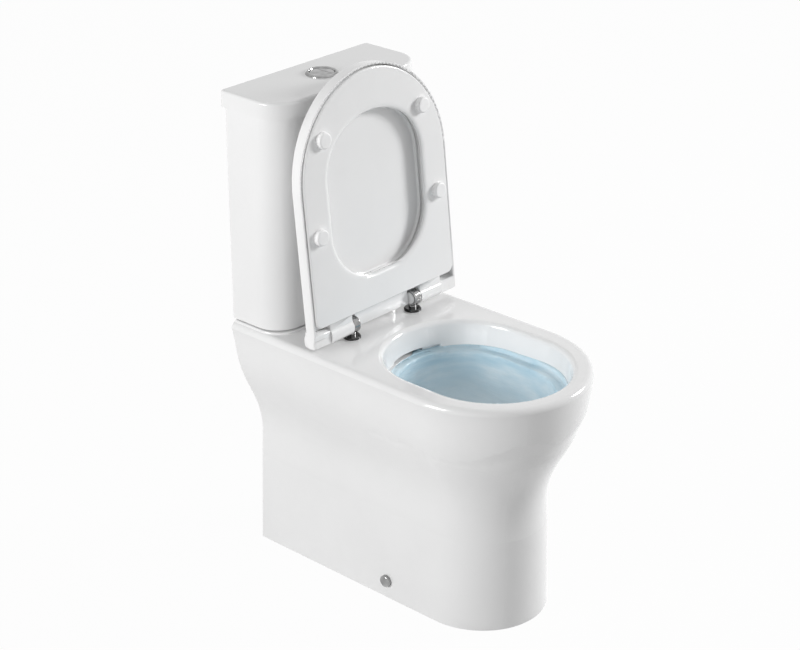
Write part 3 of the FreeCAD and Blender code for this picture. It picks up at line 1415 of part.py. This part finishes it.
os.makedirs("parts", exist_ok=True)
for node in nodes:
    node.Shape.exportStep(f"parts/{node.Label}.step")
    box = node.Shape.BoundBox
    print(node.Label, len(node.Shape.Solids), round(node.Shape.Volume), [round(value, 1) for value in (
        box.XMin, box.XMax, box.YMin, box.YMax, box.ZMin, box.ZMax)])
print(len(nodes), "pieces")
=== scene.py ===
# %% [markdown]
# # A close-coupled rimless toilet
# The solids of the toilet arrive as named pieces that are already in place: a skirted pan, a cistern with
# its flush gear, and a soft-close seat that stands raised. They could be modelled again here, but their
# sizes and fits are exact already, so this scene keeps them and softens copies of only three. It gives each
# piece its finish, adds the water of a flush, and stages everything like a picture in a catalogue.

import json
import math

import bmesh
import bpy
from mathutils import Matrix, Vector


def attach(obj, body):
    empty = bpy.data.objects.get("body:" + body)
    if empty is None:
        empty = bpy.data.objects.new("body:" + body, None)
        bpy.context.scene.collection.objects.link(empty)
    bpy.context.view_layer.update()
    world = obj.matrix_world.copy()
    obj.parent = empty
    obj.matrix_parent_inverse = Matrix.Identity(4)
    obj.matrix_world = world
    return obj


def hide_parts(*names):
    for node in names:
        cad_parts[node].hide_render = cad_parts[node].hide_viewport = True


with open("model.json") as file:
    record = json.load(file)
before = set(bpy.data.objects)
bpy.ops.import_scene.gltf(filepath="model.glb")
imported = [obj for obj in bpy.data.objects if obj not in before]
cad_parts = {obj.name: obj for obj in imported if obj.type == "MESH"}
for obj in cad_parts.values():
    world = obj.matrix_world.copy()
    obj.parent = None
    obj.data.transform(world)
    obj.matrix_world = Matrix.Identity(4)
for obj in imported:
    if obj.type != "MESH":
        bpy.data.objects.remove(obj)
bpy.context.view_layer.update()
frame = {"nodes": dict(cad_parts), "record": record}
nodes = frame["nodes"]
slot_of = {entry["node"]: entry["material_slot"] for entry in frame["record"]["subparts"]}
print("pieces:", len(nodes))

# %% [markdown]
# ## Camera
# The picture is taken from the front left, well above the lid, with a long lens that keeps the upright
# edges nearly parallel. The lens is worked out from its focal length in pixels, because that is what was
# measured. The small shift moves the picture without turning the camera.

# %% Set up the camera
FRAME_WIDTH = 800
SENSOR_WIDTH = 36
FOCAL_PIXELS = 2130.5
SHIFT_PIXELS = (2.5, 2.0)
camera_place = Vector((-2.46788, -2.17582, 2.01381))
looking = Vector((0.67007, 0.61039, -0.42240))


def aim(thing, place, target):
    """Puts a camera or a lamp at a place, looking at a target."""
    thing.location = place
    thing.rotation_euler = (Vector(target) - Vector(place)).to_track_quat("-Z", "Y").to_euler()


def add_to_scene(name, data):
    thing = bpy.data.objects.new(name, data)
    bpy.context.scene.collection.objects.link(thing)
    return thing


lens = bpy.data.cameras.new("camera")
lens.sensor_width = SENSOR_WIDTH
lens.lens = FOCAL_PIXELS * SENSOR_WIDTH / FRAME_WIDTH
lens.shift_x, lens.shift_y = (shift / FRAME_WIDTH for shift in SHIFT_PIXELS)
lens.dof.use_dof = False
camera = add_to_scene("camera", lens)
aim(camera, camera_place, camera_place + looking)
bpy.context.scene.camera = camera
bpy.context.scene.view_settings.view_transform = "Standard"
print("focal length in mm:", round(lens.lens, 2))

# %% [markdown]
# ## Building blocks for the finishes
# No real surface has one flat colour. Each finish here starts from the principled shader and gets its tone,
# its gloss and its fine relief from noise patterns. The patterns read object coordinates, so they stay on a
# piece when it moves. An image could do the same, but a pattern needs no file and stays sharp close up.
# Most of a noise pattern lies between two values, so its darkest and lightest tones are put at those two.

# %% Nodes that the finishes share
NOISE_LOW = 0.3
NOISE_HIGH = 0.7


def blank_material(name):
    """A material with its shader, and the coordinates that its patterns read."""
    material = bpy.data.materials.new(name)
    material.use_nodes = True
    tree = material.node_tree
    where = tree.nodes.new("ShaderNodeTexCoord").outputs["Object"]
    return material, tree, tree.nodes["Principled BSDF"], where


def noise(tree, where, scale, detail=3.0):
    node = tree.nodes.new("ShaderNodeTexNoise")
    node.inputs["Scale"].default_value = scale
    node.inputs["Detail"].default_value = detail
    tree.links.new(where, node.inputs["Vector"])
    return node.outputs["Fac"]


def spread(tree, value, low, high):
    """Maps the middle of a noise pattern to a range."""
    node = tree.nodes.new("ShaderNodeMapRange")
    node.inputs["From Min"].default_value = NOISE_LOW
    node.inputs["From Max"].default_value = NOISE_HIGH
    node.inputs["To Min"].default_value = low
    node.inputs["To Max"].default_value = high
    tree.links.new(value, node.inputs["Value"])
    return node.outputs["Result"]


def tones(tree, value, *colours):
    """Turns a noise pattern into a run of colours."""
    node = tree.nodes.new("ShaderNodeValToRGB")
    ramp = node.color_ramp.elements
    while len(ramp) < len(colours):
        ramp.new((NOISE_LOW + NOISE_HIGH) / 2)
    for index, colour in enumerate(colours):
        ramp[index].position = NOISE_LOW + (NOISE_HIGH - NOISE_LOW) * index / (len(colours) - 1)
        ramp[index].color = (*colour, 1)
    tree.links.new(value, node.inputs["Fac"])
    return node.outputs["Color"]


def relief(tree, shader, value, depth, strength):
    node = tree.nodes.new("ShaderNodeBump")
    node.inputs["Distance"].default_value = depth
    node.inputs["Strength"].default_value = strength
    tree.links.new(value, node.inputs["Height"])
    tree.links.new(node.outputs["Normal"], shader.inputs["Normal"])


def grey(value):
    return (value, value, value)


print("noise is read from", NOISE_LOW, "to", NOISE_HIGH)

# %% [markdown]
# ## Finishes
# The pan, tank and lid are vitreous china: white, with a glassy glaze over it that is never quite flat. The
# seat is a gloss moulding, a little softer in its shine. The hinges, the flush button and the caps near the
# floor are chrome. The discs under the hinges get a near-black chrome instead, which is painted shade: it
# stands in for the dark gap under the seat that they reflect. Most of the rest is out of sight: rubber,
# zinc-plated steel and plain plastics. Each could be a material of its own, but they differ only in
# numbers, so one function makes all of them and a finish is one line.

# %% Make the finishes
GLOSS_FINENESS = 3
GRAIN_DETAIL = 2.0
GRAIN_STRENGTH = 0.3
COAT_ROUGHNESS = 0.04


def finish(name, dark, light, rough, tone_scale, grain_scale, grain_depth, metallic=0.0, coat=0.0):
    """A finish whose tone, gloss and grain vary over the surface."""
    material, tree, shader, where = blank_material(name)
    tone = noise(tree, where, tone_scale)
    tree.links.new(tones(tree, tone, dark, light), shader.inputs["Base Color"])
    gloss = noise(tree, where, tone_scale * GLOSS_FINENESS)
    tree.links.new(spread(tree, gloss, *rough), shader.inputs["Roughness"])
    grain = noise(tree, where, grain_scale, GRAIN_DETAIL)
    relief(tree, shader, grain, grain_depth, GRAIN_STRENGTH)
    shader.inputs["Metallic"].default_value = metallic
    shader.inputs["Coat Weight"].default_value = coat
    shader.inputs["Coat Roughness"].default_value = COAT_ROUGHNESS
    return material


finishes = {
    "ceramic": finish("glazed_china", grey(0.86), grey(0.9), (0.10, 0.16), 5, 40, 0.0003, coat=0.5),
    "seat": finish("seat_gloss", grey(0.92), grey(0.95), (0.16, 0.24), 8, 160, 0.0002, coat=0.6),
    "buffer": finish("buffer_white", grey(0.96), grey(0.99), (0.35, 0.5), 40, 400, 0.0002),
    "chrome": finish("chrome", grey(0.24), grey(0.42), (0.05, 0.12), 60, 300, 0.0001, metallic=1.0),
    "rubber": finish("black_rubber", grey(0.02), grey(0.05), (0.6, 0.8), 60, 500, 0.0003),
    "steel": finish("zinc_steel", grey(0.42), grey(0.6), (0.25, 0.4), 80, 600, 0.0002, metallic=1.0),
    "valve": finish("valve_plastic", (0.72, 0.74, 0.77), (0.8, 0.82, 0.85), (0.3, 0.45), 30, 400, 0.0002),
    "fixing": finish("fixing_plastic", grey(0.55), grey(0.65), (0.35, 0.5), 40, 500, 0.0003),
}
finish_of = {node: finishes[slot] for node, slot in slot_of.items()}
# Painted shade: the hinge bases get a near-black chrome that stands in for the dark gap under the seat
# which they reflect.
finish_of["hinge_bases"] = finish(
    "painted_shade_chrome", grey(0.03), grey(0.1), (0.05, 0.12), 60, 300, 0.0001, metallic=1.0)
for node, look in finish_of.items():
    mesh = nodes[node].data
    mesh.materials.clear()
    mesh.materials.append(look)
print("finishes:", sorted(finishes))

# %% [markdown]
# ## Seat mouldings
# Two mouldings of the seat are finer than their solids. The side of the ring that one sits on slopes
# towards the hole, so the ring is thin at the edge of the hole, and the ends of the cover's hinge bar are
# square, not round. Both start from a copy of the solid and move its points. A new loft would give the same
# shapes, but the copy keeps the fits at the hinge. Distances are taken in the seat's own frame, which leans
# back from the hinge's axis.

# %% The seat's own frame
UPRIGHT = 90
SMOOTH_ANGLE = math.radians(35)
MERGE_DISTANCE = 0.00001
hinge = next(joint for joint in frame["record"]["behaviour"]["joints"] if joint["name"] == "cover_hinge")
hinge_axis = Vector(hinge["pos_m"])
lean = math.radians(hinge["range_deg"][1] - UPRIGHT)
up_seat = Vector((0, math.sin(lean), math.cos(lean)))
into_cover = Vector((0, math.cos(lean), -math.sin(lean)))


def seat_place(point):
    """How far a point is to the right of the hinge's middle, up the seat, and into the cover."""
    reach = point - hinge_axis
    return reach.x, reach.dot(up_seat), reach.dot(into_cover)


def merged_copy(mesh):
    form = bmesh.new()
    form.from_mesh(mesh)
    bmesh.ops.remove_doubles(form, verts=form.verts, dist=MERGE_DISTANCE)
    return form


def smooth_mesh(name, form):
    mesh = bpy.data.meshes.new(name)
    form.to_mesh(mesh)
    form.free()
    mesh.polygons.foreach_set("use_smooth", [True] * len(mesh.polygons))
    mesh.set_sharp_from_angle(angle=SMOOTH_ANGLE)
    return mesh


def stand_in(mesh, node, body):
    """Shows a changed copy instead of the solid."""
    mesh.materials.clear()
    mesh.materials.append(finish_of[node])
    piece = add_to_scene(mesh.name, mesh)
    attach(piece, body)
    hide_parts(node)
    return piece


def even_normals(piece):
    """Lets the large flat faces rule the shading of the small round ones beside them."""
    piece.modifiers.new("even_normals", "WEIGHTED_NORMAL").keep_sharp = True


print("the seat leans back by", round(math.degrees(lean), 2), "degrees")

# %% Slope the ring towards its hole
HOLE_MIDDLE = 0.226
HOLE_REACH = (0.137, 0.146)
HOLE_FACING = 0.1
EDGE_THICKNESS = 0.005

ring_form = merged_copy(nodes["seat_ring"].data)
ring_form.normal_update()


def faces_hole(face):
    across, along, _ = seat_place(face.calc_center_median())
    inwards = Vector((-across, HOLE_MIDDLE - along))
    if abs(inwards.x) > HOLE_REACH[0] or abs(inwards.y) > HOLE_REACH[1]:
        return False
    return Vector((face.normal.x, face.normal.dot(up_seat))).dot(inwards.normalized()) > HOLE_FACING


hole_edge = {vertex for face in ring_form.faces if faces_hole(face) for vertex in face.verts}
depths = [seat_place(vertex.co)[2] for vertex in hole_edge]
underside = min(depths)
thickness = max(depths) - underside
for vertex in hole_edge:
    depth = seat_place(vertex.co)[2] - underside
    vertex.co += into_cover * depth * (EDGE_THICKNESS / thickness - 1)
even_normals(stand_in(smooth_mesh("sloped_ring", ring_form), "seat_ring", "ring"))
print("edge of the hole:", len(hole_edge), "points, from", round(thickness, 4), "to", EDGE_THICKNESS)

# %% Square off the cover's hinge bar
BAR_TOP = 0.017
BAR_FACE = -0.0108
BAR_END = -0.0115
cover_form = merged_copy(nodes["seat_cover"].data)
trimmed = 0
for vertex in cover_form.verts:
    _, along, depth = seat_place(vertex.co)
    if along < BAR_TOP and (depth < BAR_FACE or along < BAR_END):
        vertex.co += into_cover * max(BAR_FACE - depth, 0) + up_seat * max(BAR_END - along, 0)
        trimmed += 1
even_normals(stand_in(smooth_mesh("square_ended_cover", cover_form), "seat_cover", "cover"))
print("points of the hinge bar moved:", trimmed)

# %% [markdown]
# ## Mouth of the bowl
# The bowl's mouth is an oval: it is as round at the back as it is at the front, and its wall slopes inwards
# down to the ledge. The solid has tighter corners at the back and a steeper wall. Its softer mouth is a
# bend of space: a function says where each point of the bowl goes, and leaves the points that are well
# outside the mouth in place, so the edge of the deck, the skirt and everything that fits on them stay as
# they are. The solid brings exact normals along. They could be worked out again from the faces, but turning
# them with the bend keeps the glaze free of facets.

# %% Describe the softer mouth
MOUTH_HALF = 0.143
MOUTH_BACK = 0.0655
MOUTH_FRONT = -0.2865
MOUTH_CORNER = 0.089
FRONT_FULLNESS = 2.6
FADE_START = 1.015
FADE_END = 1.06
BOWL_MIDDLE = Vector((0, -0.11))
WALL_SLOPE = 0.009
RIM_LEVEL = 0.455
LEDGE_LEVEL = 0.407
STILL_LEVEL = 0.33
back_centre = Vector((0, MOUTH_BACK - MOUTH_HALF))
corner_centre = Vector((MOUTH_HALF - MOUTH_CORNER, MOUTH_HALF - MOUTH_CORNER))
old_corner = Vector((-0.117, 0.0395, RIM_LEVEL))


def share_between(value, low, high):
    return min(max((value - low) / (high - low), 0), 1)


def back_reach(direction):
    """How far the solid's mouth reaches from the middle of its back curve."""
    direction = Vector((abs(direction.x), direction.y)).normalized()
    along = corner_centre.dot(direction)
    reach = along + math.sqrt(along ** 2 - corner_centre.length_squared + MOUTH_CORNER ** 2)
    on_corner = reach * min(direction) > corner_centre.x
    return reach if on_corner else MOUTH_HALF / max(direction)


def inside_mouth(plan):
    """One inside the solid's mouth, fading to zero a little way outside it."""
    offset = plan - back_centre
    if offset.y > 0:
        share = offset.length / back_reach(offset)
    else:
        across = abs(offset.x) / MOUTH_HALF
        along = offset.y / (MOUTH_FRONT - back_centre.y)
        share = (across ** FRONT_FULLNESS + along ** FRONT_FULLNESS) ** (1 / FRONT_FULLNESS)
    return 1 - share_between(share, FADE_START, FADE_END)


def softened(point):
    """Where a point of the solid goes: onto a rounder back, and inwards down the wall."""
    moving = share_between(point.z, STILL_LEVEL, LEDGE_LEVEL) * inside_mouth(point.xy)
    if not moving:
        return point.copy()
    plan = point.xy
    offset = plan - back_centre
    if offset.y > 0:
        plan = back_centre + offset * (1 + moving * (MOUTH_HALF / back_reach(offset) - 1))
    slope = WALL_SLOPE * moving * share_between(point.z, RIM_LEVEL, LEDGE_LEVEL)
    plan = plan - (plan - BOWL_MIDDLE).normalized() * slope
    return Vector((*plan, point.z))


print("corner of the mouth moves by", round((softened(old_corner) - old_corner).length, 4))

# %% [markdown]
# A long straight edge can't follow a bend, so the long edges round the mouth are halved until they are
# short, with triangles between them. The copy first notes the solid's normals at the corners of its faces,
# because merging its points would lose them.

# %% Cut the long edges of a copy
LONGEST_EDGE = 0.01
HALVINGS = 4
TRIANGLE = 3
solid = nodes["pan"].data
pan_form = bmesh.new()
pan_form.from_mesh(solid)
glaze_normal = pan_form.loops.layers.float_vector.new("glaze_normal")
for face, polygon in zip(pan_form.faces, solid.polygons):
    for loop, index in zip(face.loops, polygon.loop_indices):
        loop[glaze_normal] = solid.corner_normals[index].vector
bmesh.ops.remove_doubles(pan_form, verts=pan_form.verts, dist=MERGE_DISTANCE)


def bends(edge):
    if edge.calc_length() <= LONGEST_EDGE:
        return False
    return all(vertex.co.z > STILL_LEVEL and inside_mouth(vertex.co.xy) for vertex in edge.verts)


for _ in range(HALVINGS):
    long_edges = [edge for edge in pan_form.edges if bends(edge)]
    bmesh.ops.subdivide_edges(pan_form, edges=long_edges, cuts=1)
    many_sided = [face for face in pan_form.faces if len(face.verts) > TRIANGLE]
    bmesh.ops.triangulate(pan_form, faces=many_sided)
print("faces:", len(solid.polygons), "before and", len(pan_form.faces), "after")

# %% Bend the copy and turn its normals
STEP = 0.0001
LEAST_MOVE = 0.000001
UP = Vector((0, 0, 1))
AXES = (Vector((1, 0, 0)), Vector((0, 1, 0)), UP)


def turned(normal, point):
    """A normal of the solid as it stands after the bend at that point."""
    columns = [(softened(point + axis * STEP) - softened(point - axis * STEP)) / (2 * STEP)
               for axis in AXES]
    bend = Matrix(columns).transposed()
    return (bend.inverted_safe().transposed() @ normal).normalized()


new_places = {vertex: softened(vertex.co) for vertex in pan_form.verts}
moved = [vertex for vertex, place in new_places.items() if (place - vertex.co).length > LEAST_MOVE]
for vertex in moved:
    for loop in vertex.link_loops:
        loop[glaze_normal] = turned(loop[glaze_normal], vertex.co)
for vertex in moved:
    vertex.co = new_places[vertex]
print("points moved:", len(moved), "of", len(new_places))

# %% [markdown]
# The flat deck round the mouth is covered by long thin triangles, and some of them fold over when one end
# moves. They could be cut up too, but a flat face is easier to make again: its triangles go, and the border
# that they leave is filled.

# %% Fill the flat deck again
FLATNESS = 0.00001


def on_deck(part):
    """Whether all of a face or an edge lies in the plane of the deck."""
    return all(abs(vertex.co.z - RIM_LEVEL) < FLATNESS for vertex in part.verts)


flat_faces = [face for face in pan_form.faces if on_deck(face)]
bmesh.ops.delete(pan_form, geom=flat_faces, context="FACES")
borders = [edge for edge in pan_form.edges if edge.is_boundary and on_deck(edge)]
filling = bmesh.ops.triangle_fill(pan_form, edges=borders, use_beauty=True, normal=UP)["geom"]
deck = [part for part in filling if isinstance(part, bmesh.types.BMFace)]
for face in deck:
    face.smooth = True
    face.normal_update()
    if face.normal.z < 0:
        face.normal_flip()
    for loop in face.loops:
        loop[glaze_normal] = UP
print("deck:", len(flat_faces), "faces before and", len(deck), "after")

# %% Show the softened pan
pan_mesh = bpy.data.meshes.new("oval_mouthed_pan")
pan_form.to_mesh(pan_mesh)
pan_form.free()
pan_mesh.validate(clean_customdata=False)
normals = [Vector(item.vector).normalized() for item in pan_mesh.attributes["glaze_normal"].data]
pan_mesh.normals_split_custom_set(normals)
pan_mesh.attributes.remove(pan_mesh.attributes["glaze_normal"])
stand_in(pan_mesh, "pan", "pan")
print("faces of the pan:", len(pan_mesh.polygons))

# %% [markdown]
# ## Flush water
# A rimless pan is rinsed by a sheet of water that runs round the bowl from the slot at its back. The sheet
# could be drawn as a surface of its own, but it lies on the bowl everywhere, so the bowl gives its shape: a
# copy of the softened pan is cut at the water's level and at the sheet's upper edge, and only the faces of
# the bowl stay. They are lifted off the glaze, the pool closes the bottom, and a thickness turns the skin
# into a thin body of water.

# %% Cut the bowl's skin out of a copy of the pan
POOL_LEVEL = 0.266
SHEET_EDGE = Vector((0, 0.055, 0.4085))
SHEET_TILT = Vector((-0.025, 0.032, 1))
BOWL_HALF = 0.136
BOWL_BACK = 0.0573
BOWL_START = Vector((0, -0.15, 0.36))
FACING_UP = 0.1

water_form = merged_copy(pan_mesh)
for place, normal in ((SHEET_EDGE, SHEET_TILT), (Vector((0, 0, POOL_LEVEL)), -UP)):
    bmesh.ops.bisect_plane(
        water_form, geom=water_form.verts[:] + water_form.edges[:] + water_form.faces[:],
        plane_co=place, plane_no=normal.normalized(), clear_outer=True)


def in_bowl(face):
    centre = face.calc_center_median()
    return abs(centre.x) < BOWL_HALF and centre.y < BOWL_BACK


start = min((face for face in water_form.faces if face.normal.z > FACING_UP),
            key=lambda face: (face.calc_center_median() - BOWL_START).length)
skin = {start}
border = [start]
while border:
    face = border.pop()
    for neighbour in (other for edge in face.edges for other in edge.link_faces):
        if neighbour not in skin and in_bowl(neighbour):
            skin.add(neighbour)
            border.append(neighbour)
outside = [face for face in water_form.faces if face not in skin]
bmesh.ops.delete(water_form, geom=outside, context="FACES")
print("faces of the bowl's skin:", len(water_form.faces))

# %% Lift the sheet, fill the pool and give both a thickness
SHEET_LIFT = 0.0008
SHEET_THICKNESS = 0.001
SHORE_HEIGHT = 0.004
water_form.normal_update()
for vertex in water_form.verts:
    vertex.co += vertex.normal * SHEET_LIFT
shore = [edge for edge in water_form.edges
         if edge.is_boundary and max(vertex.co.z for vertex in edge.verts) < POOL_LEVEL + SHORE_HEIGHT]
bmesh.ops.edgeloop_fill(water_form, edges=shore)
bmesh.ops.recalc_face_normals(water_form, faces=water_form.faces)
for face in water_form.faces:
    face.smooth = True
water_mesh = bpy.data.meshes.new("flush_water")
water_form.to_mesh(water_mesh)
water_form.free()
flush_water = add_to_scene("flush_water", water_mesh)
film = flush_water.modifiers.new("film", "SOLIDIFY")
film.thickness = SHEET_THICKNESS
film.offset = 1
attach(flush_water, "pan")
levels = [vertex.co.z for vertex in water_mesh.vertices]
print("water from", round(min(levels), 4), "to", round(max(levels), 4))

# %% [markdown]
# Moving water over white china looks grey-blue, with paler streaks along its path round the bowl. Lower in
# the bowl its colour is painted paler, a painted light that offsets the shade deep in the bowl. Clear water
# could be given real refraction, but the sheet is so thin that only its tint and its ripples show. A
# mapping squeezes the noise upwards, which draws it out along the flow.

# %% Finish the water
FLOW_SQUEEZE = (1, 1, 4)
STREAK_SCALE = 14
STREAK_DETAIL = 4.0
STREAK_TONES = ((0.5, 0.7, 0.81), (0.61, 0.78, 0.87), (0.74, 0.86, 0.92))
PAINTED_LIGHT_TONE = (0.92, 0.97, 0.99, 1)
PAINTED_LIGHT_BOTTOM = 0.31
PAINTED_LIGHT_TOP = 0.4
PAINTED_LIGHT_SHARE = 0.85
RIPPLE_SCALE = 30
RIPPLE_DEPTH = 0.004
RIPPLE_STRENGTH = 0.4
RIPPLE_GLOSS = (0.08, 0.22)
WATER_IOR = 1.33

water, tree, shader, where = blank_material("flush_water")
along_flow = tree.nodes.new("ShaderNodeMapping")
along_flow.inputs["Scale"].default_value = FLOW_SQUEEZE
tree.links.new(where, along_flow.inputs["Vector"])
streaks = noise(tree, along_flow.outputs["Vector"], STREAK_SCALE, STREAK_DETAIL)
# Painted light: the water's colour turns paler towards the bottom of the bowl, offsetting the shade deep in
# it.
height = tree.nodes.new("ShaderNodeSeparateXYZ")
tree.links.new(where, height.inputs["Vector"])
painted_light_depth = tree.nodes.new("ShaderNodeMapRange")
painted_light_depth.inputs["From Min"].default_value = PAINTED_LIGHT_TOP
painted_light_depth.inputs["From Max"].default_value = PAINTED_LIGHT_BOTTOM
painted_light_depth.inputs["To Max"].default_value = PAINTED_LIGHT_SHARE
tree.links.new(height.outputs["Z"], painted_light_depth.inputs["Value"])
painted_light_mix = tree.nodes.new("ShaderNodeMix")
painted_light_mix.data_type = "RGBA"
painted_light_mix.inputs["B"].default_value = PAINTED_LIGHT_TONE
tree.links.new(painted_light_depth.outputs["Result"], painted_light_mix.inputs["Factor"])
tree.links.new(tones(tree, streaks, *STREAK_TONES), painted_light_mix.inputs["A"])
tree.links.new(painted_light_mix.outputs["Result"], shader.inputs["Base Color"])
ripples = noise(tree, along_flow.outputs["Vector"], RIPPLE_SCALE)
tree.links.new(spread(tree, ripples, *RIPPLE_GLOSS), shader.inputs["Roughness"])
relief(tree, shader, ripples, RIPPLE_DEPTH, RIPPLE_STRENGTH)
shader.inputs["IOR"].default_value = WATER_IOR
water_mesh.materials.append(water)
print("nodes of the water's finish:", len(tree.nodes))

# %% [markdown]
# ## Studio
# A catalogue picture is cut out on white. Turning the lamps up until the floor is white would bleach the
# china, so the floor and the sky are white only for rays that come from the camera, from a mirror-like
# surface or through glass. All other rays meet a plain pale floor and a dimmer sky, which light the object
# evenly. A large soft lamp on the left makes the sides brighter than the front, and a smaller one on the
# right lights the seat and draws the far edge.

# %% Sky
SKY_LIGHT = 0.355
WHITE = (1, 1, 1, 1)
WHITE_STRENGTH = 1.0


def seen_directly(tree):
    """One for rays from the camera, from reflections and through glass, and zero for the rest."""
    rays = tree.nodes.new("ShaderNodeLightPath")
    total = rays.outputs["Is Camera Ray"]
    for kind in ("Is Glossy Ray", "Is Transmission Ray"):
        either = tree.nodes.new("ShaderNodeMath")
        either.operation = "MAXIMUM"
        tree.links.new(total, either.inputs[0])
        tree.links.new(rays.outputs[kind], either.inputs[1])
        total = either.outputs["Value"]
    return total


world = bpy.data.worlds.new("studio")
bpy.context.scene.world = world
world.use_nodes = True
tree = world.node_tree
sky = tree.nodes["Background"]
sky.inputs["Color"].default_value = WHITE
sky.inputs["Strength"].default_value = SKY_LIGHT
backdrop = tree.nodes.new("ShaderNodeBackground")
backdrop.inputs["Color"].default_value = WHITE
backdrop.inputs["Strength"].default_value = WHITE_STRENGTH
mix = tree.nodes.new("ShaderNodeMixShader")
tree.links.new(seen_directly(tree), mix.inputs["Fac"])
tree.links.new(sky.outputs["Background"], mix.inputs[1])
tree.links.new(backdrop.outputs["Background"], mix.inputs[2])
tree.links.new(mix.outputs["Shader"], tree.nodes["World Output"].inputs["Surface"])
print("sky light:", SKY_LIGHT)

# %% Floor
FLOOR_HALF = 20
FLOOR_WHITE = 0.97
FLOOR_TONES = (grey(0.48), grey(0.52))
FLOOR_PATTERN = 3
FLOOR_ROUGHNESS = 0.8

floor_mesh = bpy.data.meshes.new("floor")
floor_form = bmesh.new()
bmesh.ops.create_grid(floor_form, x_segments=1, y_segments=1, size=FLOOR_HALF)
floor_form.to_mesh(floor_mesh)
floor_form.free()
floor = add_to_scene("floor", floor_mesh)
floor_pale, tree, shader, where = blank_material("floor_pale")
pattern = noise(tree, where, FLOOR_PATTERN)
tree.links.new(tones(tree, pattern, *FLOOR_TONES), shader.inputs["Base Color"])
shader.inputs["Roughness"].default_value = FLOOR_ROUGHNESS
glow = tree.nodes.new("ShaderNodeEmission")
glow.inputs["Strength"].default_value = WHITE_STRENGTH
share = tree.nodes.new("ShaderNodeMath")
share.operation = "MULTIPLY"
share.inputs[1].default_value = FLOOR_WHITE
tree.links.new(seen_directly(tree), share.inputs[0])
mix = tree.nodes.new("ShaderNodeMixShader")
tree.links.new(share.outputs["Value"], mix.inputs["Fac"])
tree.links.new(shader.outputs["BSDF"], mix.inputs[1])
tree.links.new(glow.outputs["Emission"], mix.inputs[2])
tree.links.new(mix.outputs["Shader"], tree.nodes["Material Output"].inputs["Surface"])
floor_mesh.materials.append(floor_pale)
print("floor half width:", FLOOR_HALF)


# %% Lamps
def soft_lamp(name, place, target, width, power):
    data = bpy.data.lights.new(name, "AREA")
    data.shape = "SQUARE"
    data.size = width
    data.energy = power
    aim(add_to_scene(name, data), place, target)


soft_lamp("left_lamp", place=(-3.3, 0.7, 1.45), target=(0, 0, 0.4), width=1.3, power=67)
soft_lamp("right_lamp", place=(3.1, -1.7, 1.9), target=(0, 0, 0.5), width=1.0, power=100)
